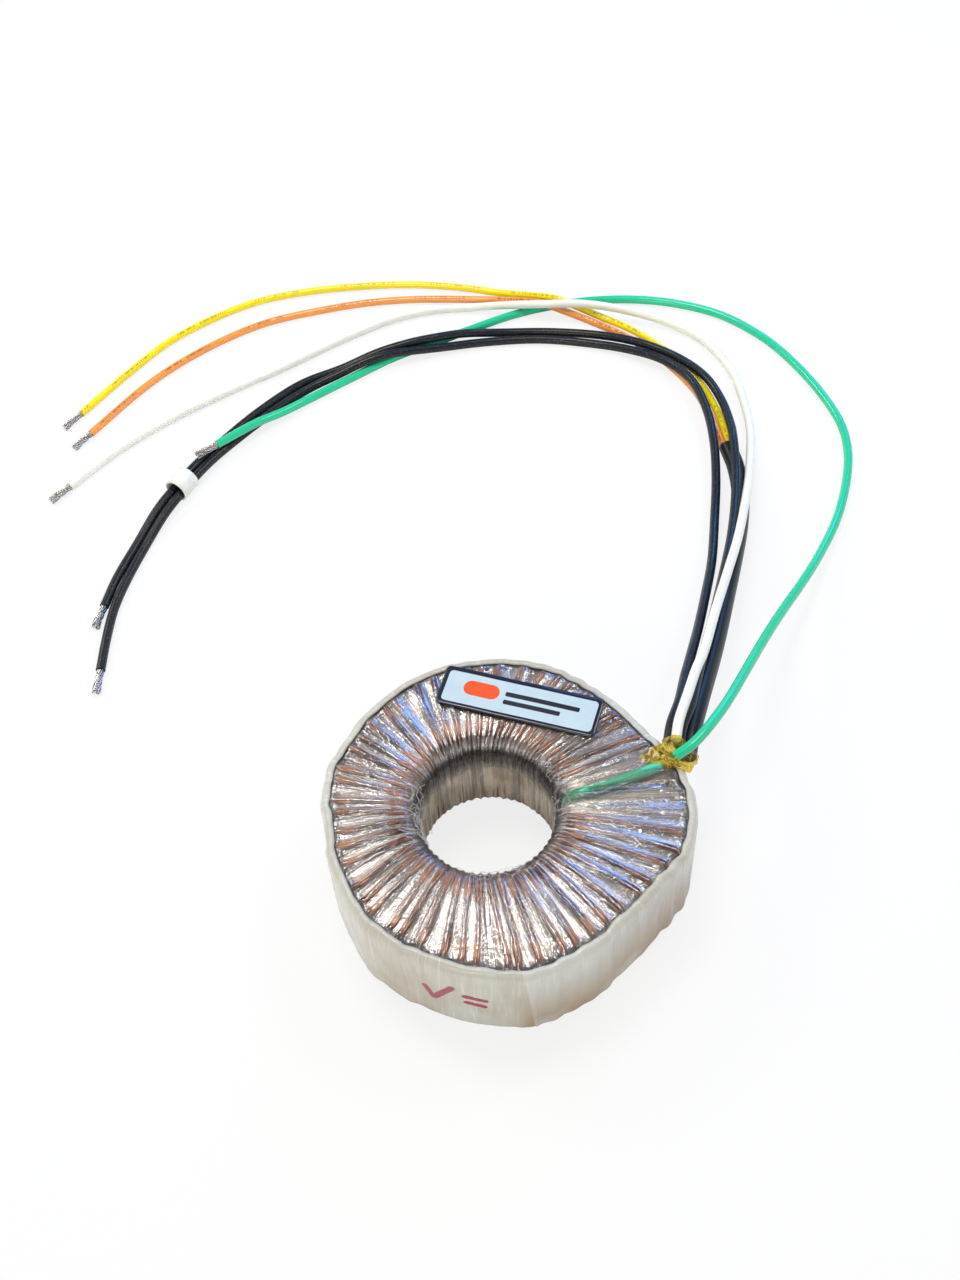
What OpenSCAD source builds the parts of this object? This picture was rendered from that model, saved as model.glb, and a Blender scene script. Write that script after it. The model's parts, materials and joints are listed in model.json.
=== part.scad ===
// Toroidal lighting transformer with six flying leads, in millimetres, +Z up.
// The origin is the middle of the ring's outline, on the surface that it lies on.

/* [Ring] */
// Height of the wound ring, film to film
ring_h = 40.5; // [38:0.5:46]
// Mean radius of the side band's outer face
ring_r = 59; // [57:0.5:64]
// Radius of the hole through the middle
hole_r = 21.5; // [18:0.5:22.5]
// Roundness of the film's edge at the hole
hole_edge_r = 8; // [6:0.5:9]
// Roundness of the film's outer edge
rim_edge_r = 4.5; // [4:0.5:6]
// Share of the hand-wound rim's unevenness
rim_lump = 1; // [0:0.1:1]

/* [Outer film] */
// Thickness of the wrapped clear film
film_t = 0.6; // [0.5:0.05:0.8]
// Depth of the film's pleats between two turns
pleat_depth = 0.35; // [0:0.05:0.4]
// Height of the film's bulge over the green tail
tail_bulge = 2.6; // [2.5:0.1:3.5]

/* [Side band] */
// Thickness of the side band
band_t = 0.9; // [0.5:0.1:1.2]
// How far the band laps over the rounded edges, in degrees
band_lap = 50; // [30:2:54]
// Depth of the band's upright creases
band_crease = 0.3; // [0:0.05:0.4]

/* [Secondary winding] */
// Places for a turn, counted right round the ring
turn_places = 54; // [48:1:56]
// Places left free where the green tail crosses
free_places = 4; // [4:1:6]
// Width of the flat-laid wire
wire_w = 1.9; // [1.2:0.1:2]
// Height of the flat-laid wire
wire_h = 1.5; // [1:0.1:1.6]

/* [Inner ring] */
// Thickness of the tape over the screen
screen_tape_t = 0.4; // [0.2:0.1:0.6]
// Thickness of the screen foil
screen_foil_t = 0.2; // [0.1:0.05:0.3]
// Width of the slit that keeps the screen from being a closed turn
screen_slit = 4; // [2:0.5:8]
// Thickness of the tape over the primary
primary_tape_t = 0.4; // [0.2:0.1:0.6]
// Build of the primary winding
primary_t = 2.2; // [1.6:0.1:2.4]
// Thickness of the tape between the caps and the primary
core_wrap_t = 0.4; // [0.2:0.1:0.6]
// Wall of the two moulded core caps
cap_t = 1; // [0.8:0.1:1.4]
// Depth of each core cap's skirt
cap_skirt = 9; // [5:0.5:11]

/* [Lead joints] */
// Radius of a sleeved joint
joint_r = 2.6; // [2:0.1:3]
// Length of a sleeved joint
joint_l = 22; // [16:1:26]
// Number of joints in the padding
joint_count = 5; // [3:1:5]
// Angle from one joint to the next, seen from the ring's middle
joint_step = 9; // [8:0.5:10]

/* [Leads] */
// Diameter of the yellow and orange leads
thin_lead_d = 3.1; // [2.6:0.1:3.2]
// Diameter of the white and green leads
lead_d = 3.5; // [3:0.1:3.5]
// Diameter of the two black leads
black_lead_d = 3.6; // [3:0.1:3.6]
// Diameter of the sleeve over the yellow and orange leads
sleeve_d = 7; // [6.4:0.1:7]
// Length of a bared end
tip_l = 10; // [6:0.5:14]
// Radius of one strand of a bared end
strand_r = 0.42; // [0.3:0.02:0.46]

/* [Marker ring] */
// Length of the marker ring
marker_l = 9; // [6:0.5:12]
// Wall of the marker ring
marker_t = 0.75; // [0.5:0.05:0.9]

/* [Label] */
// Length of the label
label_l = 55; // [40:1:56]
// Width of the label
label_w = 15.6; // [10:0.2:16]
// Thickness of the label
label_t = 0.25; // [0.15:0.05:0.5]
// Roundness of the label's corners
label_corner = 2; // [1:0.25:3]

/* [Exit tape] */
// Thickness of the tape gathered round the leads
exit_tape_t = 0.6; // [0.4:0.1:0.8]
// Length of the gathered tape behind the leads' ends
exit_tape_l = 8; // [6:0.5:10]

/* [Hidden] */
$fn = 64;

// Clearances
layer_gap = 0.1;      // between two wrapped layers
winding_gap = 0.3;    // under the secondary's wire
film_gap = 0.47;     // between the film and the secondary's wire, and between film and band
joint_gap = 0.3;      // round a joint in its padding
seat_gap = 0.05;      // under what is stuck to the film
bore_skim = 0.05;     // skimmed off the film so that the hole is truly round

// Centres in plan
ring_c = [-2, 0.3];
hole_c = [-7, 1];

// How far the hand-wound rim stands out or in, by direction from the ring's middle
rim_knots = [
    [-180, -0.6], [-165, -0.1], [-150, 0.4], [-140, 2.2], [-122, 0.9], [-105, 0.9], [-88, 2.8], [-72, 0.6],
    [-55, -1.5], [-38, -1.6], [-20, 2.8], [-12, 3.9], [-3, 3.3], [8, 2.8], [18, -0.5], [30, -2.2], [42, -2.8],
    [55, -1.6], [75, 1], [92, 1.4], [112, 2.4], [131, 1.6], [150, 1.4], [165, 0.8], [180, -0.6]
];
rim_blend = 7;

// Directions at which the green tail leaves the hole, crosses the middle and reaches the rim,
// and its way between the two, as a share of the ring's width
tail_turns = [4, 8, 11];
tail_shares = [0.2, 0.82];
tail_dip = 1.25;         // how far the tail's end dips at the hole's edge
bulge_turn = 12;

// Depths below the film's outer face
wire_off = film_t + film_gap + wire_h / 2;
stack_off = film_t + film_gap + wire_h + winding_gap;
primary_tape_off = stack_off + screen_tape_t + screen_foil_t + 2 * layer_gap;
primary_off = primary_tape_off + primary_tape_t + layer_gap;
core_wrap_off = primary_off + primary_t + layer_gap;
cap_off = core_wrap_off + core_wrap_t + layer_gap;
core_off = cap_off + cap_t + layer_gap;
film_in = band_t + film_gap;

// The round inner stack reaches as far as the nearest stretch of the rim lets it
stack_reach = min([for (a = [-180:5:175]) norm(rim_point(a, film_in) - hole_c)]);

turn_pitch = 360 / turn_places;
turns = turn_places - free_places;

// The first turn crosses the top under a ridge of the film, clear of the green tail
top_step = 5.5;
first_turn = (ceil((tail_turns[2] + 5) / turn_pitch) - top_step / 12) * turn_pitch;

// Where the leads leave the rim
exit_at = [56, 17.6];
exit_turn = 15;
exit_dir = [sin(exit_turn), cos(exit_turn), 0];
exit_straight = 8;
black_a_out = [-2.7, 41.5];
black_b_out = [0.9, 40.2];
white_out = [-0.3, 44.2];
sleeve_out = [3.6, 34.9];

// Where the yellow and orange leads leave the sleeve's mouth: aside and above its middle
yellow_out = [1.6, -0.5];
orange_out = [-1.6, -0.5];
mouth_straight = 10;

// Routes of the free leads, by hand: x, y, height of the middle
black_a_route = concat(exit_points(black_a_out), [
    [59.5, 36, 39.5], [63, 48, 35], [67.5, 62, 29.5], [72.5, 78, 22.5], [78, 97, 15.5],
    [84, 119, 8.8], [88.5, 142, 5.2], [92, 163, 5], [93.7, 182, 6], [93.2, 201, 5.7], [89, 219, 5.1],
    [79, 231, 5.1], [66, 240, 3.5], [50, 247, 1.9], [29, 251.5, 1.9], [7, 252, 2], [-14, 249.5, 3],
    [-33, 245.5, 5.4], [-45, 242, 5.4], [-58, 237, 3.2], [-72, 230, 1.9], [-88, 216.5, 1.9],
    [-102, 202.5, 2.1], [-111.2, 190.6, 3.4], [-119, 178.6, 3.9], [-126.8, 166, 3.4], [-134, 151, 1.9],
    [-140, 135, 1.9], [-144, 121, 1.9], [-146, 106, 1.9], [-147, 92, 1.9]
]);
black_b_route = concat(exit_points(black_b_out), [
    [63.3, 35, 38.5], [67, 47, 35], [71.5, 61, 30], [78.5, 82, 23.5], [86, 106, 17], [92, 126, 13],
    [96.5, 145, 10.6], [99.5, 163, 9.3], [101, 179, 9], [101.3, 190, 7.7], [100, 206, 5.2],
    [95, 220, 5.2], [85, 232, 5.2], [71, 242, 5], [55, 250.5, 2.8], [34, 255.5, 1.9], [12, 257, 2.2],
    [-3, 255.5, 4.6], [-14, 253.5, 5.5], [-27, 251, 5.5], [-41, 247.6, 4.2], [-56, 242, 2],
    [-74, 234, 1.9], [-91, 220, 1.9], [-105, 205, 2.1], [-114.4, 192.8, 3.4], [-122.2, 180.8, 3.9],
    [-130, 168.3, 3.4], [-137.5, 152, 1.9], [-144, 136, 1.9], [-148, 122, 1.9]
]);
white_route = concat(exit_points(white_out), [
    [62, 36, 42.5], [66.5, 48, 38.8], [71.5, 60, 34.5], [79, 82, 27.5], [87, 104, 21],
    [94.5, 125, 15.8], [101.8, 150, 10.8], [105, 163, 8.2], [108, 178, 5], [109.8, 190, 3],
    [110, 204, 1.9], [107.5, 224, 1.9], [99, 243, 1.9], [85, 255, 2.8], [67, 262, 5.4],
    [49, 265.5, 7.6], [32, 267, 7.6], [15, 271.3, 4.6], [0, 274, 2.2], [-18, 274, 1.9], [-37, 269, 1.9],
    [-59, 258, 1.9], [-83, 244, 1.9], [-106, 232, 1.9], [-128, 219, 1.9], [-148, 204, 1.9],
    [-167, 185, 1.9]
]);
green_route = [
    [54, 11, 43.8], [61, 16, 43.5], [68, 24, 42], [76, 36, 38], [85, 52, 32], [95, 70, 25],
    [105, 87, 18], [117, 106, 11], [127, 123, 6], [136, 140, 3], [143, 158, 2], [147, 175, 1.9],
    [147, 191, 1.9], [142, 209, 1.9], [134, 227, 1.9], [124, 243, 1.9], [109, 258, 1.9],
    [92, 267, 1.9], [74, 272, 1.9], [55, 273.5, 1.9], [37, 272, 1.9], [19, 268, 1.9],
    [2, 261.5, 1.9], [-16, 254, 1.9], [-34, 246.5, 1.9], [-53, 235.5, 1.9], [-70, 225, 2.2],
    [-81, 217, 3.6], [-92, 209.5, 5.6], [-107, 198.5, 6.4]
];
sleeve_route = concat(exit_points(sleeve_out), [
    [64.5, 33, 33.5], [69, 46, 30], [74.2, 61, 24.5], [79.4, 77, 19.4], [85.2, 96, 14], [91, 115, 9.6],
    [97, 136, 5.8], [100.5, 154, 4], [101, 169, 3.6], [99.3, 181, 3.5]
]);
yellow_route = concat(mouth_points(yellow_out), [
    [98, 203, 2.1], [93.5, 219, 1.7], [83.5, 237, 1.7], [69.5, 253, 1.7], [57, 262.5, 1.7],
    [47, 268, 3.6], [38, 272.3, 5.4], [28, 277, 3.8], [14, 282.5, 1.7], [-4, 288, 1.7],
    [-26, 292, 1.7], [-48, 293, 1.7], [-70, 292, 1.7], [-92, 288, 1.7], [-112, 279, 1.7],
    [-131, 266, 1.7], [-147, 249, 1.7], [-166, 226, 1.7]
]);
orange_route = concat(mouth_points(orange_out), [
    [94.6, 202, 2.1], [90, 217, 1.7], [80, 234, 1.7], [66, 249.5, 1.7], [52, 260.5, 1.7],
    [41, 266, 3.6], [30.5, 270.5, 5.3], [20, 274.5, 3.8], [6, 279, 1.7], [-22, 282, 1.7],
    [-44, 282, 1.7], [-66, 279, 1.7], [-88, 274, 1.7], [-107, 265, 1.7], [-126, 252, 1.7],
    [-142, 237, 1.7], [-161, 214, 1.7]
]);

// Where the marker ring grips the two black leads
marker_at = [-120.6, 179.6, 4.95];
marker_turn = 57.5;
marker_bore_r = black_lead_d + 0.55;

// Where the label lies
label_side = 74.3;
label_share = 0.49;
label_turn = -19.7;

// ---- Vectors and paths ----

function unit(v) = v / norm(v);
function wrap_turn(a) = a - 360 * floor((a + 180) / 360);
function last(list) = list[len(list) - 1];

// The route's first two points: the lead's end in the exit tape, and a straight start
function exit_point(out, along) = [
    exit_at[0] + out[0] * cos(exit_turn) + along * exit_dir[0],
    exit_at[1] - out[0] * sin(exit_turn) + along * exit_dir[1],
    out[1]
];
function exit_points(out) = [exit_point(out, 0), exit_point(out, exit_straight)];

// The same where a thin lead leaves the sleeve's mouth
function mouth_point(out, along) =
    let (end = last(sleeve_route), dir = unit(end - sleeve_route[len(sleeve_route) - 2]),
         side = unit(cross(dir, [0, 0, 1])))
    end + side * out[0] + cross(side, dir) * out[1] + dir * along;
function mouth_points(out) = [mouth_point(out, 0), mouth_point(out, mouth_straight)];

// A smooth curve through a route's points, two steps to a span
function spline_at(a, b, c, d, t) =
    0.5 * (2 * b + (c - a) * t + (2 * a - 5 * b + 4 * c - d) * t * t + (3 * b - a - 3 * c + d) * t * t * t);
function span_point(route, i, t) =
    let (n = len(route),
         a = i > 0 ? route[i - 1] : 2 * route[0] - route[1],
         d = i < n - 2 ? route[i + 2] : 2 * route[n - 1] - route[n - 2])
    spline_at(a, route[i], route[i + 1], d, t);
function smooth(route) = concat(
    [for (i = [0:len(route) - 2]) for (t = [0, 0.5]) span_point(route, i, t)],
    [last(route)]
);
function path_dir(path, route, i) =
    i == 0 ? unit(route[1] - route[0])
    : i == len(path) - 1 ? unit(last(route) - route[len(route) - 2])
    : unit(path[i + 1] - path[i - 1]);

// Faces of a skin over rings of equal length, open with two caps or closed on itself
function skin_faces(rings, count, closed) = concat(
    [for (i = [0:rings - (closed ? 1 : 2)]) for (j = [0:count - 1])
        let (k = (j + 1) % count, n = (i + 1) % rings)
        [i * count + j, i * count + k, n * count + k, n * count + j]],
    closed ? [] : [
        [for (j = [count - 1:-1:0]) j],
        [for (j = [0:count - 1]) (rings - 1) * count + j]
    ]
);
module skin(rings, closed = false) {
    polyhedron(
        points = [for (r = rings) each r],
        faces = skin_faces(len(rings), len(rings[0]), closed),
        convexity = 8
    );
}

// A free lead: one eight-sided tube along its route
lead_sides = 8;
module lead(route, d) {
    path = smooth(route);
    skin([for (i = [0:len(path) - 1])
        let (t = path_dir(path, route, i), side = unit(cross(t, [0, 0, 1])), up = cross(side, t))
        [for (k = [0:lead_sides - 1])
            let (a = (k + 0.5) * 360 / lead_sides)
            path[i] + (side * cos(a) + up * sin(a)) * d / 2]]);
}

// A bared end: seven tinned strands in one bundle, straight on from the insulation
module tip(route) {
    end = last(route);
    dir = end - route[len(route) - 2];
    strand_pitch = 1.8 * strand_r;
    translate(end) rotate([0, acos(unit(dir)[2]), atan2(dir[1], dir[0])]) {
        cylinder(r = strand_r, h = tip_l, $fn = 24);
        for (a = [0:60:300])
            rotate([0, 0, a]) translate([strand_pitch, 0, 0]) cylinder(r = strand_r, h = tip_l, $fn = 24);
    }
}

// ---- The ring's form ----

function rim_step(a) =
    (lookup(wrap_turn(a - rim_blend), rim_knots) + 2 * lookup(wrap_turn(a), rim_knots)
     + lookup(wrap_turn(a + rim_blend), rim_knots)) / 4;
function rim_point(a, off) = ring_c + (ring_r + rim_lump * rim_step(a) - off) * [cos(a), sin(a)];
function hole_point(a, off) = hole_c + (hole_r + off) * [cos(a), sin(a)];

// A section of the wound ring: which edge a point is measured from, how far, and its height
corner_step = 45;     // degrees between two points of a rounded edge
function corner_r(r, off) = max(r - off, 0.5);
function ring_section(off) =
    let (ri = corner_r(hole_edge_r, off), ro = corner_r(rim_edge_r, off), top = ring_h - off)
    concat(
        [for (t = [90:-corner_step:0]) [1, ro * (1 - cos(t)), off + ro * (1 - sin(t))]],
        [for (t = [0:corner_step:90]) [1, ro * (1 - cos(t)), top - ro * (1 - sin(t))]],
        [for (t = [90:-corner_step:0]) [0, ri * (1 - cos(t)), top - ri * (1 - sin(t))]],
        [for (t = [0:corner_step:90]) [0, ri * (1 - cos(t)), off + ri * (1 - sin(t))]]
    );
function ring_point(a, s, off) =
    let (inner = hole_point(a, off), outer = rim_point(a, film_in + off),
         along = unit(outer - inner), p = s[0] == 0 ? inner + along * s[1] : outer - along * s[1])
    [p[0], p[1], s[2]];

// The film's skin, with a point midway on top, pleats and the bulge over the green tail
function bulge(a, at) = tail_bulge * max(0, 1 - abs(wrap_turn(a - at)) / bulge_turn);
function film_ring(a, off, pleat) =
    let (s = ring_section(off),
         ps = [for (q = s) ring_point(a, q, off)],
         mid = (ps[5] + ps[6]) / 2,
         in_up = bulge(a, tail_turns[0]), mid_up = bulge(a, tail_turns[1]), out_up = bulge(a, tail_turns[2]),
         dip = in_up + mid_up + out_up > 0 ? 0 : pleat)
    [
        ps[0] + [0, 0, dip], ps[1], ps[2], ps[3], ps[4] + [0, 0, out_up / 2],
        ps[5] + [0, 0, out_up - dip], mid + [0, 0, mid_up - dip], ps[6] + [0, 0, in_up - dip],
        ps[7] + [0, 0, in_up / 2], ps[8], ps[9], ps[10], ps[11] + [0, 0, dip]
    ];
module film_skin(off, steps, pleat, turn = 360) {
    skin([for (i = [0:steps - (turn == 360 ? 1 : 0)])
        film_ring(i * turn / steps, off, i % 2 == 1 ? pleat : 0)], closed = turn == 360);
}

// One layer of the round inner stack: a closed shell about the hole's axis
function arc_points(c, r, from, to) =
    [for (k = [0:2]) let (t = from + (to - from) * k / 2) c + r * [cos(t), sin(t)]];
module stack_section(off) {
    x0 = hole_r + off;
    x1 = stack_reach - off;
    ri = corner_r(hole_edge_r, off);
    ro = corner_r(rim_edge_r, off);
    top = ring_h - off;
    polygon(concat(
        arc_points([x0 + ri, top - ri], ri, 180, 90),
        arc_points([x1 - ro, top - ro], ro, 90, 0),
        arc_points([x1 - ro, off + ro], ro, 0, -90),
        arc_points([x0 + ri, off + ri], ri, -90, -180)
    ));
}
module stack_ring() {
    translate([hole_c[0], hole_c[1], 0]) rotate_extrude() children();
}
module stack_layer(off, thick) {
    stack_ring() difference() {
        stack_section(off);
        stack_section(off + thick);
    }
}

// ---- Inside the ring ----

module core() {
    color("dimgray") stack_ring() stack_section(core_off);
}

module core_cap(z_from, z_to) {
    stack_ring() intersection() {
        difference() {
            stack_section(cap_off);
            stack_section(cap_off + cap_t);
        }
        translate([0, z_from]) square([ring_r * 2, z_to - z_from]);
    }
}
module core_cap_lower() {
    color("ivory") core_cap(0, cap_off + cap_skirt);
}
module core_cap_upper() {
    color("ivory") core_cap(ring_h - cap_off - cap_skirt, ring_h);
}

module core_wrap() {
    color("khaki") stack_layer(core_wrap_off, core_wrap_t);
}
module primary_winding() {
    color("saddlebrown") stack_layer(primary_off, primary_t);
}
module primary_tape() {
    color("gold") stack_layer(primary_tape_off, primary_tape_t);
}

// The screen is open by a slit, or it would be a shorted turn
module screen_foil() {
    color("peru") difference() {
        stack_layer(stack_off + screen_tape_t + layer_gap, screen_foil_t);
        translate([hole_c[0], hole_c[1] - screen_slit / 2, -1]) cube([2 * ring_r, screen_slit, ring_h + 2]);
    }
}
module screen_tape() {
    color("tan") stack_layer(stack_off, screen_tape_t);
}

// Padding fills the crescent between the round stack and the secondary's outer side
padding_off = film_in + stack_off + layer_gap;
padding_z = stack_off + corner_r(rim_edge_r, stack_off);
padding_x = 18;
joint_at = ring_c[0] + (stack_reach + hole_c[0] - ring_c[0] + ring_r - padding_off) / 2;
module at_joints() {
    for (k = [0:joint_count - 1])
        translate([ring_c[0], ring_c[1], ring_h / 2])
            rotate([0, 0, (k - (joint_count - 1) / 2) * joint_step])
                translate([joint_at - ring_c[0], 0, 0]) children();
}
module joint_padding() {
    color("whitesmoke") difference() {
        intersection() {
            translate([0, 0, padding_z]) linear_extrude(ring_h - 2 * padding_z)
                polygon([for (a = [0:5:355]) rim_point(a, padding_off)]);
            translate([padding_x, -2 * ring_r, 0]) cube([3 * ring_r, 4 * ring_r, ring_h]);
        }
        translate([hole_c[0], hole_c[1], -1])
            cylinder(r = stack_reach - stack_off + layer_gap, h = ring_h + 2, $fn = 128);
        at_joints() cylinder(r = joint_r + joint_gap, h = joint_l + 2 * joint_gap, center = true);
    }
}
module lead_joints() {
    color("black") at_joints() cylinder(r = joint_r, h = joint_l, center = true);
}

// ---- The secondary: one continuous helix of flat-laid wire round the ring ----

wire_section = ring_section(wire_off);
turn_steps = len(wire_section);
function wire_turn(i) = first_turn + turn_pitch * i / turn_steps;
module secondary_winding() {
    n = turns * turn_steps;
    path = [for (i = [0:n]) ring_point(wire_turn(i), wire_section[i % turn_steps], wire_off)];
    color("chocolate") skin([for (i = [0:n])
        let (back = i > 0 ? unit(path[i] - path[i - 1]) : unit(path[1] - path[0]),
             ahead = i < n ? unit(path[i + 1] - path[i]) : back,
             t = unit(back + ahead),
             round_ring = [-sin(wire_turn(i)), cos(wire_turn(i)), 0],
             side = unit(round_ring - t * (round_ring * t)) * wire_w / 2,
             out = cross(t, unit(side)) * wire_h / 2 / (t * ahead))
        [path[i] + side + out, path[i] + side - out, path[i] - side - out, path[i] - side + out]]);
}

// The green tail dips at the hole's edge and crosses the top on the screen tape, between the
// first turn and the last
tail_z = ring_h - stack_off + winding_gap + lead_d / 2;
function tail_point(t) =
    let (a = lookup(t, [[0, tail_turns[0]], [0.5, tail_turns[1]], [1, tail_turns[2]]]),
         share = tail_shares[0] + (tail_shares[1] - tail_shares[0]) * t,
         at = hole_point(a, 0) * (1 - share) + rim_point(a, film_in) * share)
    [at[0], at[1], tail_z];
tail_route = concat([tail_point(-0.12) - [0, 0, tail_dip]], [for (t = [0:0.25:1]) tail_point(t)]);
module green_tail() {
    color("mediumseagreen") lead(tail_route, lead_d);
}

// ---- Outside ----

module outer_film() {
    color("rosybrown", 0.6) difference() {
        film_skin(0, 2 * turn_places, pleat_depth);
        film_skin(film_t, turn_places, 0);
        translate([hole_c[0], hole_c[1], -1]) cylinder(r = hole_r + bore_skim, h = ring_h + 2, $fn = 128);
    }
}

// The side band: a strip round the rim whose edges are shrunk over the rounded corners
function band_arc(r, from, to, z) =
    [for (k = [0:2]) let (t = from + (to - from) * k / 2) [rim_edge_r - r * cos(t), z + r * sin(t)]];
function band_point(a, q) =
    let (up = max(0, q[1] - ring_h + rim_edge_r) / rim_edge_r * band_follow * bulge(a, tail_turns[2]))
    ring_point(a, [1, q[0], q[1] + up], 0);
band_follow = 0.7;    // share of the tail's bulge that the band's upper edge follows
function band_ring(a, crease) =
    let (lo = rim_edge_r + film_gap, hi = lo + band_t, z0 = rim_edge_r, z1 = ring_h - rim_edge_r,
         cut = crease * band_crease,
         outline = concat(
             band_arc(hi - cut, -band_lap, 0, z0), band_arc(hi - cut, 0, band_lap, z1),
             band_arc(lo, band_lap, 0, z1), band_arc(lo, 0, -band_lap, z0)
         ))
    [for (q = outline) band_point(a, q)];
module side_band() {
    color("honeydew") skin([for (i = [0:turn_places - 1])
        band_ring(i * turn_pitch, i % 3 == 1 ? 1 : 0)], closed = true);
}

// What the band fills beside the exit, for cutting the tape that is gathered over it
exit_steps = 18;
module band_block(steps) {
    r = rim_edge_r + film_gap + band_t + seat_gap;
    in = rim_edge_r + 2 * band_t;
    lift = r * sin(band_lap);
    skin([for (i = [0:steps])
        [for (q = concat(
            band_arc(r, -band_lap, 0, rim_edge_r), band_arc(r, 0, band_lap, ring_h - rim_edge_r),
            [[in, ring_h - rim_edge_r + lift], [in, rim_edge_r - lift]]))
            band_point(i * turn_pitch / 2, q)]]);
}

// A disc square to the leads at their exit
module exit_disc(out, d, back) {
    translate(exit_point(out, -back)) rotate([-90, 0, -exit_turn])
        cylinder(d = d + 2 * exit_tape_t, h = 0.5, $fn = 20);
}
green_dir = unit(green_route[1] - green_route[0]);
module green_disc(d, along, h) {
    translate(green_route[0] + along * green_dir)
        rotate([0, acos(green_dir[2]), atan2(green_dir[1], green_dir[0])]) cylinder(d = d, h = h, $fn = 20);
}
module exit_tape() {
    color("goldenrod", 0.8) difference() {
        union() {
            hull() {
                exit_disc(black_a_out, black_lead_d, 0.5);
                exit_disc(black_b_out, black_lead_d, 0.5);
                exit_disc(white_out, lead_d, 0.5);
                exit_disc(sleeve_out, sleeve_d, 0.5);
                exit_disc([black_a_out[0] - 3, ring_h - 1], 1, exit_tape_l);
                exit_disc([sleeve_out[0] - 1, ring_h - 3], 1, exit_tape_l - 2);
            }
            hull() {
                green_disc(lead_d + 2 * exit_tape_t, -0.5, 0.5);
                green_disc(lead_d, -exit_tape_l / 2, 0.5);
                translate([0, 0, -3]) green_disc(lead_d, -exit_tape_l / 2, exit_tape_l);
            }
        }
        film_skin(-seat_gap, exit_steps, 0, exit_steps * turn_pitch / 2);
        band_block(exit_steps);
        green_disc(lead_d + 4 * seat_gap, 0, 4 * exit_tape_l);
    }
}

module label() {
    at = hole_point(label_side, 0) * (1 - label_share) + rim_point(label_side, 0) * label_share;
    color("lightblue") translate([at[0], at[1], ring_h + seat_gap]) rotate([0, 0, label_turn])
        linear_extrude(label_t) {
            square([label_l - 2 * label_corner, label_w], center = true);
            square([label_l, label_w - 2 * label_corner], center = true);
            for (x = [-1, 1], y = [-1, 1])
                translate([x * (label_l / 2 - label_corner), y * (label_w / 2 - label_corner)])
                    circle(r = label_corner);
        }
}

module marker_ring() {
    color("white") translate(marker_at) rotate([0, 90, marker_turn]) difference() {
        cylinder(r = marker_bore_r + marker_t, h = marker_l, center = true);
        cylinder(r = marker_bore_r, h = marker_l + 1, center = true);
    }
}

core();
core_cap_lower();
core_cap_upper();
core_wrap();
primary_winding();
primary_tape();
screen_foil();
screen_tape();
joint_padding();
lead_joints();
secondary_winding();
green_tail();
outer_film();
side_band();
exit_tape();
label();
color("#25282c") lead(black_a_route, black_lead_d);  // lead_black_a
color("#25282c") lead(black_b_route, black_lead_d);  // lead_black_b
color("ghostwhite") lead(white_route, lead_d);  // lead_white
color("mediumseagreen") lead(green_route, lead_d);  // lead_green
color("#1b1d20") lead(sleeve_route, sleeve_d);  // black_sleeve
color("gold") lead(yellow_route, thin_lead_d);  // lead_yellow
color("orange") lead(orange_route, thin_lead_d);  // lead_orange
color("silver") tip(black_a_route);  // tip_black_a
color("silver") tip(black_b_route);  // tip_black_b
color("silver") tip(white_route);  // tip_white
color("silver") tip(green_route);  // tip_green
color("silver") tip(yellow_route);  // tip_yellow
color("silver") tip(orange_route);  // tip_orange
marker_ring();
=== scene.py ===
import json
import math
import random
from functools import partialmethod
import bmesh
import bpy
from mathutils import Matrix, Vector, noise


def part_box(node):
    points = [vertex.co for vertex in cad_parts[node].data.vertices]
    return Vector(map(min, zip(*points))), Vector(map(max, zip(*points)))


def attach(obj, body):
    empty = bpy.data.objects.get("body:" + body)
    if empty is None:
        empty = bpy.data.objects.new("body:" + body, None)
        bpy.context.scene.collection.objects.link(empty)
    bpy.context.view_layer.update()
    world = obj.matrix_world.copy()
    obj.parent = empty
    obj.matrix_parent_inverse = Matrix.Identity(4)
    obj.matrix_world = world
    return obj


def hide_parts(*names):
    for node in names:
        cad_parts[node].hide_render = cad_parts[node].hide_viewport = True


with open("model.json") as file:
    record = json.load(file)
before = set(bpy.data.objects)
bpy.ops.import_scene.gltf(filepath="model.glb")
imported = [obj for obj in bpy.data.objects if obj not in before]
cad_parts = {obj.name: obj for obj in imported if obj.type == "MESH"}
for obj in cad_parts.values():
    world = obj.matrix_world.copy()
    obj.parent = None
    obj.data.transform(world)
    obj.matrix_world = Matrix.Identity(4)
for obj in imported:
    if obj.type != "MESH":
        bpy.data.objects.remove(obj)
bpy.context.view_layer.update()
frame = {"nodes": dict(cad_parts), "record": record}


# ---- Camera and room ----
# The camera looks down on the ring from the front, a little rolled.
# The room is a white sweep under four softboxes, with a cool window behind on the right.

camera_place = (-0.0055, -0.2697, 0.4971)
camera_tilt = math.radians(53.7)
camera_roll = math.radians(-3.9)
camera_lens = 46.4
nearest_seen = 0.01


def new_object(name, data):
    """An object of the scene, at the origin."""
    made = bpy.data.objects.new(name, data)
    bpy.context.scene.collection.objects.link(made)
    return made


look = Vector((0, math.cos(camera_tilt), -math.sin(camera_tilt)))
level_right = Vector((1, 0, 0))
level_up = level_right.cross(look)
camera_right = level_right * math.cos(camera_roll) + level_up * math.sin(camera_roll)
camera_up = level_up * math.cos(camera_roll) - level_right * math.sin(camera_roll)
camera_axes = Matrix((camera_right, camera_up, -look)).transposed()
camera = new_object("camera", bpy.data.cameras.new("camera"))
camera.data.lens = camera_lens
camera.data.clip_start = nearest_seen
camera.matrix_world = Matrix.Translation(camera_place) @ camera_axes.to_4x4()
bpy.context.scene.camera = camera
bpy.context.scene.view_settings.view_transform = "Standard"


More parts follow.
